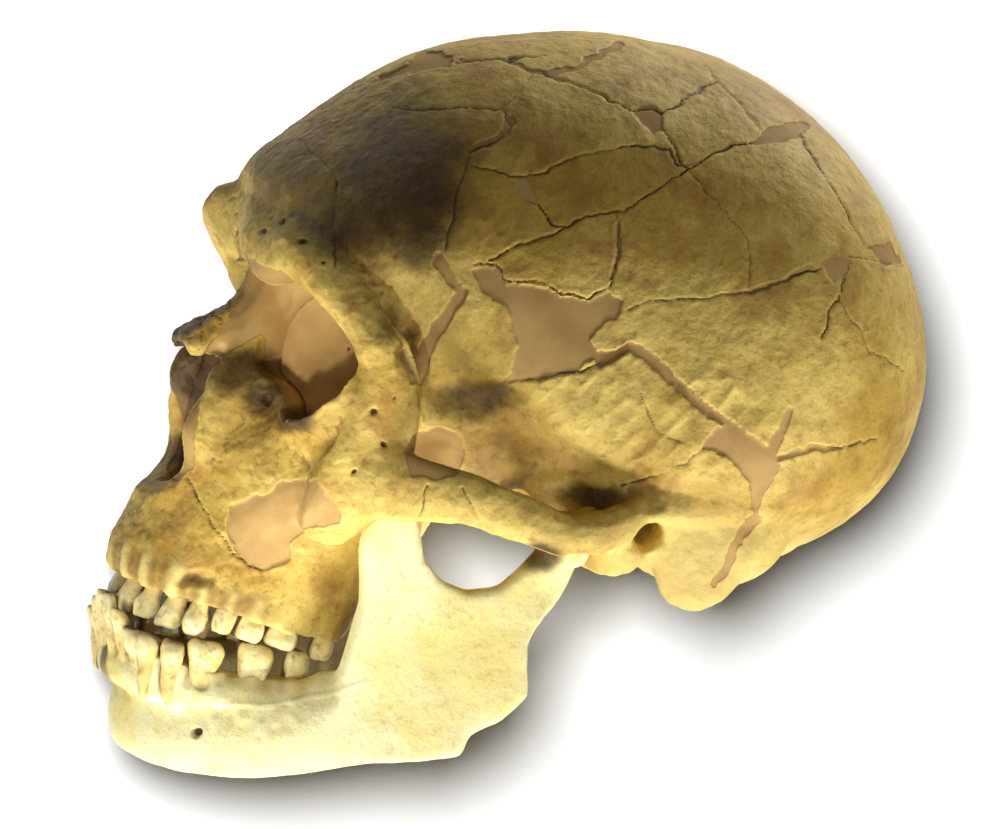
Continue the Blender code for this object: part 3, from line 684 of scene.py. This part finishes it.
def sculptCranium(piece):
    mesh = piece.data
    movePoints(mesh, pulled(filledOrbits(skullPoints(mesh)), pulls))
    points, normals = skullPoints(mesh), skullNormals(mesh)
    x, y, z = points.T
    face = 1 - eased(x, -92, -70)
    teethBand = face * (1 - eased(z, -50, -40))
    # paler towards the bottom at the back of the braincase
    paleLowBack = eased(-z, -14, 6) * eased(x, -22, 12) * (0.75 + 0.25 * grain(points, 9.0, 31))
    # the far wall inside the nose, which gets painted shade
    farWall = (eased(-x, 98, 102) * eased(y, 2, 5) * eased(-y, -19, -16) * eased(z, -27, -22)
               * eased(-z, -12, -6))
    nasal = (eased(-x, 98, 102) * eased(-np.abs(y), -15, -10) * eased(z, -8, 0)
             * eased(-z, -30, -24))
    crack, faint, plaster, hole, sink, dark = np.zeros((6, len(points)))
    for shown, spots, facing, here in bothSides(points, normals):
        wander = warped(spots, here, relief["warp"])
        near = lineReach(wander, fineCracks, 8)
        width = relief["crackHalf"] * (1 + 0.5 * grain(here, 6.0, 3))
        strength = 0.72 + 0.4 * grain(here, 11.0, 4)
        raiseTo(crack, shown, facing * np.clip(strength, 0.35, 1)
                * (1 - eased(near, 0.3 * width, 1.4 * width)))
        near = lineReach(wander, faintCracks, 6)
        raiseTo(faint, shown, facing * (1 - eased(near, 0.3, 1.8)))
        uneven = 1 + 0.35 * grain(here, 9.0, 5)
        for half, line in plasterSeams:
            near = lineReach(wander, [line], half + 4)
            raiseTo(plaster, shown, facing * (1 - eased(near, half * uneven - 0.8,
                                                        half * uneven + 0.8)))
        for outline in plasterPatches:
            raiseTo(plaster, shown, facing * eased(patchDepth(wander, outline), -0.8, 0.8))
        sinkHolesAndShade(shown, wander, facing, hole, sink, dark)
    filling = eyeSocket(points)
    plaster = np.maximum(plaster, filling)
    barrier = (crack > 0.12) | (plaster > 0.3)
    level = fragments(mesh, barrier)
    bare = 1 - plaster
    height = relief["wave"] * (0.6 * grain(points, 17.0, 1) + 0.4 * grain(points, 8.0, 2))
    height *= 0.35 + 0.65 * bare
    rough = bare * (1 + 0.6 * face + 1.4 * nasal)
    height += relief["bumps"] * rough * (0.7 * grain(points, 4.2, 11)
                                         + 0.5 * grain(points, 2.1, 12))
    height += relief["fine"] * rough * grain(points, 1.3, 13)
    squama = eased(-np.hypot((x + 5) / 42, (z - 25) / 26), -1.05, -0.75) * eased(np.abs(y), 50, 62)
    height += squama * bare * (0.45 * ridged(points * (1, 1, 0.6), 9.0, 15)
                               + 0.3 * ridged(points * (1, 1, 0.7), 4.6, 16))
    height += relief["step"] * level * bare
    height -= relief["crackDepth"] * crack + relief["faintDepth"] * faint * bare
    height -= relief["plasterDepth"] * plaster * (1 - filling) + sink
    height -= 0.5 * face * eased(ridged(points, 3.4, 21), 0.75, 0.98) * bare * (0.3 + 0.7 * nasal)
    height += 0.35 * nasal * bare * grain(points, 3.0, 23)
    swell, ridge, nearTooth = rootRidges(points, upperTeeth, lambda x: surface["toothCut"],
                                          16.0, 1.5)
    pocket = reshaped(mesh, points + normals * (height + swell)[:, None])
    # painted shade: the dark zones and hollows, the inside of the nose, its far wall and the inside
    # of the mouth
    shadeSum = dark + 0.8 * nasal * eased(y, -8, -3) + 0.75 * farWall + mouthSide(points, normals)
    writeValues(mesh, {
        "crack": np.clip(np.maximum(crack, 0.5 * faint * bare) + hole, 0, 1),
        "plaster": plaster, "tone": level, "pocket": pocket, "soot": np.clip(shadeSum, 0, 1),
        "root": np.maximum(ridge * teethBand, 0.9 * paleLowBack),
        "seam": nearTooth * (1 - ridge) * teethBand, "whole": np.ones(len(points)),
    })


def reshaped(mesh, points):
    # moves the points, but not out of the CAD model's box, and says where pockets are
    points = intoBox(points)
    movePoints(mesh, points)
    return cavity(mesh, points, skullNormals(mesh))


def mouthSide(points, normals):
    # the surfaces inside the mouth, which get painted shade
    x, y, z = points.T
    inward = eased(-normals[:, 1] * np.sign(y), 0.05, 0.4) * eased(np.abs(y), 2, 8)
    reach = 27 - 0.012 * np.minimum(x + 75, 0) ** 2
    within = eased(reach - np.abs(y), 1, 5) * eased(-x, 48, 56)
    return (np.maximum(inward, within) * eased(-z, 34, 46) * eased(-x, 10, 30)
            * eased(z, -96, -78))


def eyeSocket(points):
    # the inside of both eye sockets, which is all plaster
    found = np.zeros(len(points))
    for side in (-1, 1):
        offset, turn = socketFrame(points, side)
        along = offset[:, 0] * math.cos(turn) - offset[:, 1] * math.sin(turn)
        across = offset[:, 0] * math.sin(turn) + offset[:, 1] * math.cos(turn)
        away = np.sqrt((across / 22.6) ** 2 + (offset[:, 2] / 19.6) ** 2
                       + (np.maximum(along, 0) / orbit["depth"]) ** 2)
        found = np.maximum(found, (1 - eased(away, 0.99, 1.06)) * eased(along, -3, 2)
                           * (1 - eased(along, 24, 28)))
    return found


def intoBox(points):
    # nothing stands outside the CAD model's box
    low, high = (np.array(corner) for corner in cadBox)
    return toSkull(np.clip(toWorld(points), low + 1e-5, high - 1e-5))


def sculptJaw(piece):
    mesh = piece.data
    movePoints(mesh, pulled(skullPoints(mesh), jawPulls))
    points, normals = skullPoints(mesh), skullNormals(mesh)
    x, y, z = points.T
    plain, hole, sink, dark = np.zeros((4, len(points)))
    for shown, spots, facing, here in bothSides(points, normals):
        wander = warped(spots, here, 1.2)
        sinkHolesAndShade(shown, wander, facing, hole, sink, dark)
        near = lineReach(wander, [[(179, 703), (264, 705), (330, 694), (365, 682)]], 8)
        sink[shown] -= 0.22 * facing * (1 - eased(near, 0.5, 4))
    swell, ridge, nearTooth = rootRidges(
        points, lowerTeeth, lambda x: -73.0 + 0.12 * (x + 111), -13.0, 1.4)
    band = eased(-x, 68, 74) * eased(z, -90, -84)
    height = 0.22 * grain(points, 14.0, 61) + 0.16 * grain(points, 6.0, 62)
    height += 0.06 * grain(points, 2.4, 63) + 0.3 * band * grain(points, 3.2, 64)
    height -= sink
    pocket = reshaped(mesh, points + normals * (height + swell)[:, None])
    writeValues(mesh, {
        "crack": hole, "plaster": plain, "tone": plain, "pocket": pocket,
        # painted shade in the jaw's hollows and inside the mouth
        "soot": np.maximum(dark, 0.9 * mouthSide(points, normals)),
        "root": ridge, "seam": nearTooth * (1 - ridge),
    })


sculptCranium(cranium)
sculptJaw(jaw)
print("bone sculpted")

# the cut into bones, along the same lines as the CAD
sutures = {
    "thickness": 0.016,
    "coronal": [(-31, 140), (-34, 120), (-46, 84), (-60, 44)],
    "squamous": [(-60, 44), (-46, 60), (-24, 65), (2, 58), (26, 38), (47, 14)],
    "lambdoid": [(104, 97), (76, 82), (47, 14)],
    "sphenoidBack": [(-60, 44), (-47, 25), (-38, 5), (-33, -60)],
    "petrous": 27.0,
    "beyond": 0.3,         # mm that a wall reaches past its line's ends
}


def thinSheet(line, low, high, plan=False):
    # a thin wall along a line of x, z points between two values of y; a plan wall runs along
    # x, y points between two values of z
    points = [np.array(point, float) for point in line]
    for end, inner in ((0, 1), (-1, -2)):
        way = points[end] - points[inner]
        points[end] = points[end] + sutures["beyond"] * way / np.linalg.norm(way)
    shape = bmesh.new()
    verts = [shape.verts.new((a, b, low) if plan else (a, low, b)) for a, b in points]
    edges = [shape.edges.new(pair) for pair in zip(verts, verts[1:])]
    grown = bmesh.ops.extrude_edge_only(shape, edges=edges)["geom"]
    moved = [item for item in grown if isinstance(item, bmesh.types.BMVert)]
    rise = high - low
    bmesh.ops.translate(shape, verts=moved, vec=(0, 0, rise) if plan else (0, rise, 0))
    return thickened(shape)


def thinPlate(outline, side):
    # every edge stands a little outside its outline, so that it crosses the sheets round it
    corners = np.array(outline, float)
    ways = np.roll(corners, -1, axis=0) - corners
    ways /= np.linalg.norm(ways, axis=1)[:, None]
    x, z = corners.T
    turn = np.sign(x @ np.roll(z, -1) - z @ np.roll(x, -1))
    out = turn * np.stack([ways[:, 1], -ways[:, 0]], axis=1)
    before = np.roll(out, 1, axis=0)
    spread = corners + (sutures["beyond"] * (out + before)
                        / (1 + (out * before).sum(axis=1))[:, None])
    shape = bmesh.new()
    shape.faces.new([shape.verts.new((x, side, z)) for x, z in spread])
    return thickened(shape)


def thickened(shape):
    bmesh.ops.recalc_face_normals(shape, faces=shape.faces)
    bmesh.ops.solidify(shape, geom=shape.faces[:], thickness=sutures["thickness"])
    bmesh.ops.recalc_face_normals(shape, faces=shape.faces)
    bmesh.ops.triangulate(shape, faces=shape.faces)
    return settled(shape, "suture")


def sutureWalls():
    coronal, squamous, lambdoid = (sutures[key] for key in ("coronal", "squamous", "lambdoid"))
    back = sutures["sphenoidBack"]
    brow = [(-60, 44), (-66, 27), (-140, 27)]
    walls = [thinSheet(line, -95, 95) for line in (coronal, brow, squamous, lambdoid)]
    walls += [
        thinPlate(coronal + squamous[1:] + lambdoid[-2::-1], 0),
        thinSheet(back, -67, 67),
        thinSheet([(-66.5, 28), (-66.5, -6), (-56, -18), (-54, -75)], -53, 53),
        thinSheet([(-99.5, 0), (-60, 0)], -5, 27, plan=True),
        thinSheet([(-140, 0), (-53, 0)], -80, -4.9, plan=True),
        thinSheet([(-99.5, -5), (-99.5, 27)], -7.7, 7.7),
    ]
    for side in (-1, 1):
        cheek = [(-66.7, 52.5 * side), (-64, 54.5 * side), (-56, 64 * side), (-43, 68 * side),
                 (-42.6, 95 * side)]
        walls += [
            thinSheet([(-140, 7.6 * side), (-99.5, 7.6 * side)], -5, 27, plan=True),
            thinSheet([(-140, 33 * side), (-92, 38 * side), (-74, 50 * side),
                       (-65.5, 53 * side)], -80, 27, plan=True),
            thinSheet(cheek, -80, 44, plan=True),
            thinSheet([(47, 14), (41, -60)], *sorted((sutures["petrous"] * side, 95 * side))),
            thinPlate(squamous + [(41, -60)] + back[:0:-1], sutures["petrous"] * side),
        ]
    return walls


def healValues(mesh):
    # points that the cut made take on their neighbours' values
    edges = readEdges(mesh)
    values = {layer.name: read(layer.data, "value", 1)[:, 0] for layer in mesh.attributes
              if layer.domain == "POINT" and layer.data_type == "FLOAT"}
    known = (values["whole"] > 0.999).astype(float)
    for _ in range(4):
        share = neighbourSum(edges, known)
        fresh = (known < 0.5) & (share > 0)
        for value in values.values():
            total = neighbourSum(edges, value * known)
            value[fresh] = total[fresh] / share[fresh]
        known[fresh] = 1
    writeValues(mesh, values)


def partBones(piece):
    cutAway(piece, sutureWalls())
    for other in bpy.context.selected_objects:
        other.select_set(False)
    piece.select_set(True)
    bpy.context.view_layer.objects.active = piece
    bpy.ops.mesh.separate(type="LOOSE")
    trees = {name: BVHTree.FromPolygons(
        [vert.co[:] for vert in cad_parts[name].data.vertices],
        [face.vertices[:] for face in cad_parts[name].data.polygons])
        for name in cranialNames}
    owned = {}
    for island in list(bpy.context.selected_objects):
        points = readPoints(island.data)
        points = points[::max(1, len(points) // 150)]
        away = {name: np.mean([trees[name].find_nearest(point)[3] for point in points])
                for name in cranialNames}
        owned.setdefault(min(away, key=away.get), []).append(island)
    bones = {}
    for name, islands in owned.items():
        islands.sort(key=lambda island: -len(island.data.vertices))
        print(name, [len(island.data.vertices) for island in islands])
        bones[name] = islands[0]
        healValues(islands[0].data)
        discard(islands[1:])
    print("without a piece:", sorted(set(cranialNames) - set(bones)))
    return bones


bones = partBones(cranium)
bones["mandible"] = jaw
print("bones parted")


class Wire:
    # a shader value, so that a sum written with it becomes Math nodes
    def __init__(self, finish, socket):
        self.finish, self.socket = finish, socket

    def sum(self, kind, first, second):
        return self.finish.add("ShaderNodeMath", {"operation": kind}, {0: first, 1: second})

    def __add__(self, other):
        return self.sum("ADD", self, other)

    __radd__ = __add__

    def __mul__(self, other):
        return self.sum("MULTIPLY", self, other)

    __rmul__ = __mul__

    def __sub__(self, other):
        return self.sum("SUBTRACT", self, other)

    def __rsub__(self, other):
        return self.sum("SUBTRACT", other, self)


class Finish:
    def __init__(self, name, roughness=0.6, coat=0.0):
        self.material = bpy.data.materials.new(name)
        self.material.use_nodes = True
        self.tree = self.material.node_tree
        self.shader = self.tree.nodes["Principled BSDF"]
        self.shader.inputs["Roughness"].default_value = roughness
        self.shader.inputs["Coat Weight"].default_value = coat
        self.shader.inputs["Specular IOR Level"].default_value = 0.35

    def add(self, kind, settings=None, sockets=None, out=0):
        node = self.tree.nodes.new(kind)
        for key, value in (settings or {}).items():
            setattr(node, key, value)
        for key, value in (sockets or {}).items():
            self.plug(node.inputs[key], value)
        return Wire(self, node.outputs[out])

    def plug(self, socket, value):
        if isinstance(value, Wire):
            self.tree.links.new(value.socket, socket)
        elif hasattr(value, "__len__") and len(value) == 3 and len(socket.default_value) == 4:
            socket.default_value = (*value, 1)
        else:
            socket.default_value = value

    def blend(self, share, first, second, kind="MIX"):
        return self.add("ShaderNodeMix", {"data_type": "RGBA", "blend_type": kind},
                        {0: share, 6: first, 7: second}, out=2)

    def cloud(self, size, detail=3.0, rough=0.55):
        # noise whose features are size millimetres wide
        place = self.add("ShaderNodeTexCoord", out=3)
        return self.add("ShaderNodeTexNoise", None, {
            "Vector": place, "Scale": 1000.0 / size, "Detail": detail, "Roughness": rough})

    def step(self, value, low, high):
        return self.add("ShaderNodeMapRange", {"interpolation_type": "SMOOTHSTEP"},
                        {"Value": value, "From Min": low, "From Max": high})

    def mark(self, name):
        return self.add("ShaderNodeAttribute", {"attribute_name": name}, out=2)

    def bump(self, height, distance, strength=1.0, below=None):
        sockets = {"Height": height, "Distance": distance, "Strength": strength}
        if below is not None:
            sockets["Normal"] = below
        return self.add("ShaderNodeBump", None, sockets)

    def feed(self, name, value):
        self.plug(self.shader.inputs[name], value)


boneLook = {
    "pale": (0.80, 0.59, 0.155),
    "ochre": (0.56, 0.36, 0.065),
    "brown": (0.23, 0.12, 0.022),
    "olive": (0.42, 0.275, 0.045),
    "russet": (0.37, 0.17, 0.03),
    "plaster": (0.55, 0.35, 0.125),
    "plasterDark": (0.42, 0.25, 0.08),
    "crack": (0.085, 0.046, 0.014),
    "soot": (0.12, 0.092, 0.058),
    "root": (0.88, 0.73, 0.28),
}
jawLook = dict(
    boneLook, pale=(0.90, 0.86, 0.52), ochre=(0.87, 0.75, 0.29), brown=(0.62, 0.45, 0.16),
    olive=(0.88, 0.80, 0.34), russet=(0.90, 0.75, 0.25), root=(0.86, 0.72, 0.32))


def boneFinish(name, look):
    finish = Finish(name, roughness=0.6)
    crack, plaster, tone, pocket, soot, root, seam = (finish.mark(key) for key in (
        "crack", "plaster", "tone", "pocket", "soot", "root", "seam"))
    wide, middle, small = (finish.cloud(*form) for form in ((34, 3), (9, 4, 0.62), (2.4, 4, 0.65)))
    filled = finish.step(plaster, 0.35, 0.6)
    colour = finish.blend(finish.step(wide + tone * 0.09, 0.36, 0.62), look["ochre"], look["pale"])
    stainsAndShading = [             # what each follows, where it starts and ends, its share and colour
        (middle, 0.50, 0.72, 0.55, "olive"),
        (finish.cloud(19, 5, 0.65), 0.46, 0.66, 0.6, "russet"),
        (small, 0.52, 0.74, 0.5, "brown"),
        (finish.cloud(1.0, 2), 0.56, 0.76, 0.35, "brown"),
        # pockets darker, dirt and painted shade; raised spots paler, painted highlight
        (pocket, 0.1, 0.9, 0.75, "brown"),
        (0.0 - pocket, 0.15, 0.9, 0.4, "pale"),
    ]
    for source, low, high, share, shade in stainsAndShading:
        colour = finish.blend(finish.step(source, low, high) * share, colour, look[shade])
    colour = finish.blend(root * 0.7, colour, look["root"])
    # darker in the dips between the roots: painted shade
    colour = finish.blend(finish.step(seam, 0.25, 0.8) * 0.75, colour, look["brown"])
    fill = finish.blend(finish.step(finish.cloud(14, 3), 0.35, 0.7), look["plaster"],
                        look["plasterDark"])
    fill = finish.blend(finish.step(small, 0.6, 0.8) * 0.3, fill, look["plasterDark"])
    colour = finish.blend(filled, colour, fill)
    # painted shade multiplied into the colour: dark zones, hollows, the inside of the nose and
    # mouth
    shadeShare = finish.step(soot + (middle - 0.5) * 0.7, 0.08, 0.98)
    colour = finish.blend(shadeShare, colour, look["soot"], "MULTIPLY")
    colour = finish.blend(finish.step(crack, 0.25, 0.85) * 0.9, colour, look["crack"])
    finish.feed("Base Color", colour)
    finish.feed("Roughness", 0.50 + small * 0.22 + filled * 0.1)
    fine = finish.cloud(0.9, 3, 0.6)
    bare = 1 - filled * 0.8
    normal = finish.bump(small * bare, 0.00045, 0.5)
    finish.feed("Normal", finish.bump(fine * bare, 0.00022, 0.6, normal))
    return finish.material


toothLook = {
    "enamel": (0.88, 0.78, 0.40),
    "amber": (0.82, 0.63, 0.22),
    "neck": (0.76, 0.55, 0.19),
    "streak": (0.30, 0.17, 0.05),
    "worn": (0.55, 0.36, 0.14),
    "tongue": (0.2, 0.12, 0.06),
}


def toothFinish(name, look):
    finish = Finish(name, roughness=0.3, coat=0.15)
    neck = finish.mark("neck")
    streak, spots = finish.cloud(2.2, 3, 0.6), finish.cloud(5.0, 3)
    colour = finish.blend(finish.step(spots, 0.4, 0.7), look["enamel"], look["amber"])
    colour = finish.blend(finish.step(neck, 0.3, 0.9) * 0.8, colour, look["neck"])
    colour = finish.blend(finish.step(streak, 0.5, 0.74) * 0.6, colour, look["streak"])
    colour = finish.blend(finish.mark("wear") * 0.5, colour, look["worn"])
    # the side of each tooth that faces the tongue is darkened: painted shade inside the mouth
    colour = finish.blend(finish.step(finish.mark("tongue"), 0.3, 0.7) * 0.9, colour,
                          look["tongue"], "MULTIPLY")
    finish.feed("Base Color", colour)
    finish.feed("Roughness", 0.24 + streak * 0.25 + neck * 0.15)
    finish.feed("Normal", finish.bump(finish.cloud(1.1, 3), 0.0002, 0.4))
    return finish.material


fossilBone = boneFinish("fossilBone", boneLook)
paleJawBone = boneFinish("paleJawBone", jawLook)
wornTooth = toothFinish("wornTooth", toothLook)
print("finishes made")


def finishBone(name, piece):
    mesh = piece.data
    piece.name = piece.data.name = name.title().replace("_", "")
    mesh.materials.clear()
    mesh.materials.append(paleJawBone if name == "mandible" else fossilBone)
    mesh.shade_smooth()
    mesh.set_sharp_from_angle(angle=math.radians(50))
    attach(piece, "root")
    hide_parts(name)
    "pale_bone" if name == "mandible" else "fossil_bone"


for name, piece in bones.items():
    finishBone(name, piece)
print("bones finished")

toothLayers = ("neck", "wear", "tongue")
toothForm = {
    "rings": 16,
    # share of the way from the worn edge to the root's end, width along, width across
    "peg": [(0.0, 0.62, 0.5), (0.04, 0.9, 0.84), (0.12, 1.0, 0.98), (0.26, 0.92, 1.0),
            (0.38, 0.76, 0.90), (0.55, 0.72, 0.82), (0.78, 0.58, 0.66), (1.0, 0.3, 0.34)],
    "molar": [(0.0, 0.66, 0.62), (0.04, 0.92, 0.90), (0.12, 1.0, 1.0), (0.24, 0.93, 1.0),
              (0.34, 0.76, 0.88), (0.50, 0.72, 0.80), (0.75, 0.7, 0.66), (1.0, 0.42, 0.36)],
    "square": 2.6,         # how square a front tooth's section is, and a molar's
    "molarSquare": 3.0,
    "tilt": 0.04,          # the worn edge's random slope
    "dish": 0.28,          # where the worn dish starts, as a share of half the width
    "sunk": 0.35,          # mm that the dish is deep
    "levels": 2,
}


def tooth(shape, row, number, side, rootEnd, lean, outward):
    x, out, edge, along, deep = row
    way = alongArch(out, side)
    molar = number > 5
    if not molar:
        x, out = x - abs(way[1]) * outward, out + way[0] * outward
    stations = toothForm["molar" if molar else "peg"]
    way = Vector(way)
    across = Vector((0, 0, 1)).cross(way)
    power = 2 / toothForm["molarSquare" if molar else "square"]
    loop = list(bmesh.ops.create_circle(shape, segments=toothForm["rings"], radius=1.0)["verts"])
    neck, wear, tongue = (shape.verts.layers.float[key] for key in toothLayers)
    angles = [math.atan2(vert.co.y, vert.co.x) for vert in loop]
    edges = list(dict.fromkeys(line for vert in loop for line in vert.link_edges))
    rand = np.random.default_rng(number * 7 + (3 if side > 0 else 0) + int(abs(edge)))
    tilt = rand.uniform(-toothForm["tilt"], toothForm["tilt"], 2)

    def put(verts, share, wide, thick):
        rise = (rootEnd - edge) * share
        for vert, angle in zip(verts, angles):
            c, s = math.cos(angle), math.sin(angle)
            a = math.copysign(abs(c) ** power, c) * along * wide
            b = math.copysign(abs(s) ** power, s) * deep * thick
            dip = 1.0
            if molar:
                dip -= 0.11 * abs(s) ** 6 * (1.0 if share < 0.3 else 2.2)
            else:
                dip -= 0.03 * abs(math.sin(2 * angle))
            lift = tilt[0] * a + tilt[1] * b if share < 0.2 else 0.0
            vert.co = (Vector((x + lean * share, out * side, edge + rise + lift))
                       + way * a * (1 if not molar else 1 - 0.05 * abs(s)) + across * b * dip)
            vert[neck] = min(1.0, max(0.0, (share - 0.22) / 0.25))
            vert[wear] = 1.0 if share == 0 else 0.0
            vert[tongue] = float((across * b).dot(Vector((-abs(way.y), way.x * side, 0))) < 0)

    put(loop, *stations[0])
    top = shape.faces.new(loop)
    for station in stations[1:]:
        grown = bmesh.ops.extrude_edge_only(shape, edges=edges)["geom"]
        fresh = [item for item in grown if isinstance(item, bmesh.types.BMVert)]
        edges = [item for item in grown if isinstance(item, bmesh.types.BMEdge)
                 and all(vert in fresh for vert in item.verts)]
        loop = [next(line.other_vert(vert) for line in vert.link_edges
                     if line.other_vert(vert) in fresh) for vert in loop]
        put(loop, *station)
    shape.faces.new(list(reversed(loop)))
    bmesh.ops.inset_individual(shape, faces=[top], thickness=along * toothForm["dish"])
    shift = math.copysign(toothForm["sunk"], rootEnd - edge)
    bmesh.ops.translate(shape, verts=list(top.verts), vec=(0, 0, shift))
    for vert in top.verts:
        vert[wear] = 1.0


# a root's lean is the mm that it runs back: a distance from the midline, nearer and beyond it
rowForms = {
    "upper": {"teeth": upperTeeth, "rootEnd": -44.0, "lean": (22, 4.0, 1.0), "outward": 2.0},
    "lower": {"teeth": lowerTeeth, "rootEnd": -86.0, "lean": (18, 10.0, 3.0), "outward": 0.0},
}


def toothRow(name, form, sides, node):
    shape = bmesh.new()
    for key in toothLayers:
        shape.verts.layers.float.new(key)
    limit, front, back = form["lean"]
    for side in sides:
        for number, row in enumerate(form["teeth"], 1):
            lean = front if row[1] < limit else back
            tooth(shape, row, number, side, form["rootEnd"], lean, form["outward"])
    bmesh.ops.recalc_face_normals(shape, faces=shape.faces)
    piece = settled(shape, name)
    piece.data.materials.append(wornTooth)
    smooth = piece.modifiers.new("round", "SUBSURF")
    smooth.levels = smooth.render_levels = toothForm["levels"]
    applied(piece)
    mesh = piece.data
    points, normals = skullPoints(mesh), skullNormals(mesh)
    bumps = 0.5 * grain(points, 3.8, 71) + 0.2 * grain(points, 1.7, 72)
    movePoints(mesh, intoBox(points + normals * bumps[:, None]))
    mesh.shade_smooth()
    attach(piece, "root")
    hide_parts(node)
    return piece


upperRight = toothRow("upperTeethRight", rowForms["upper"], [1], "maxilla_right")
upperLeft = toothRow("upperTeethLeft", rowForms["upper"], [-1], "maxilla_left")
lowerBoth = toothRow("lowerTeeth", rowForms["lower"], [-1, 1], "mandible")
print("teeth made")

# floor and light
studio = {
    "floorSize": 8.0,
    "floorColour": (0.86, 0.86, 0.85),
    "floorSpots": 0.985,   # how bright its darker spots are
    "air": 0.045,
    "airColour": (0.95, 0.96, 1.0, 1),
    "spotSoftness": 0.04,
    # name, right, up, near, distance, size, watts, colour, and the aim in the skull's frame
    "lamps": [
        ("keyLamp", 0.20, -0.95, 0.18, 1.6, 0.34, 25, (1.0, 0.97, 0.86), (0, 0, 20)),
        ("faceLamp", -0.58, -0.80, 0.18, 0.6, 0.2, 2.6, (1.0, 0.97, 0.86), (-85, 0, -15)),
        ("backLamp", 0.74, -0.50, 0.44, 1.6, 0.5, 8.5, (1.0, 0.97, 0.88), (0, 0, 20)),
        ("rimLamp", 0.50, 0.72, -0.48, 1.6, 0.6, 16, (1.0, 0.93, 0.82), (0, 0, 40)),
        ("fillLamp", 0.05, -0.3, 1.0, 2.4, 1.2, 8.0, (1.0, 0.98, 0.92), (0, 0, 20)),
    ],
    "jawLamp": ("jawLamp", -0.60, -0.30, 0.74, 2.4, 1.0, 12, (1.0, 0.98, 0.90), (-60, 0, -80)),
    "floorLamp": ("floorLamp", -0.04, 0.05, 1.0, 3.4, 0.5, 210, (1.0, 1.0, 1.0), (0, 0, 20)),
    "spot": ("cheekLamp", -0.30, -0.55, 0.78, 1.0, 7.4, 44, (1.0, 0.97, 0.88), (-102, -28, -15)),
}


def makeFloor():
    shape = bmesh.new()
    bmesh.ops.create_grid(shape, x_segments=8, y_segments=8, size=studio["floorSize"])
    floor = fromBmesh("floor", shape)
    finish = Finish("paleFloor", roughness=0.8)
    spots = finish.cloud(60, 2)
    low = tuple(value * studio["floorSpots"] for value in studio["floorColour"])
    finish.feed("Base Color", finish.blend(spots, low, studio["floorColour"]))
    floor.data.materials.append(finish.material)
    floor.visible_diffuse = False      # the light floor would fill the skull's dark side
    return floor


def makeLamp(name, right, up, near, distance, size, watts, colour, aim):
    lamp = link(name, bpy.data.lights.new(name, "AREA"))
    lamp.data.shape = "DISK"
    lamp.data.size = size
    lamp.data.energy = watts
    lamp.data.color = colour
    way = Vector(poseTurn @ (right * imageRight + up * imageUp + near * imageNear)).normalized()
    lamp.location = Vector(toWorld(np.array(aim, float))) + way * distance
    lamp.rotation_euler = way.to_track_quat("Z", "Y").to_euler()
    return lamp


def makeSpot(name, right, up, near, distance, angle, watts, colour, aim):
    softness = studio["spotSoftness"]
    lamp = makeLamp(name, right, up, near, distance, softness, watts, colour, aim)
    lamp.data.type = "SPOT"
    spot = bpy.data.lights[lamp.data.name]     # read again, now as a spot lamp
    spot.energy = watts
    spot.spot_size = math.radians(angle)
    spot.spot_blend = 1.0
    spot.shadow_soft_size = softness
    return lamp


def lightOnly(lamp, name, pieces):
    group = bpy.data.collections.get(name) or bpy.data.collections.new(name)
    for piece in pieces:
        if piece.name not in group.objects:
            group.objects.link(piece)
    lamp.light_linking.receiver_collection = group
    if name == "skullLit":
        lamp.light_linking.blocker_collection = group   # the floor doesn't stop the rim lamp


floor = makeFloor()
skullPieces = [*bones.values(), upperRight, upperLeft, lowerBoth]
for lamp in studio["lamps"]:
    lightOnly(makeLamp(*lamp), "skullLit", skullPieces)
lightOnly(makeSpot(*studio["spot"]), "skullLit", skullPieces)
lightOnly(makeLamp(*studio["jawLamp"]), "jawLit", [jaw, upperRight, upperLeft, lowerBoth])
lightOnly(makeLamp(*studio["floorLamp"]), "floorLit", [floor])
bpy.context.scene.view_settings.view_transform = "Standard"
world = bpy.data.worlds.new("studioAir")
world.use_nodes = True
air = world.node_tree.nodes["Background"].inputs
air["Color"].default_value = studio["airColour"]
air["Strength"].default_value = studio["air"]
bpy.context.scene.world = world
print("floor and lamps placed")
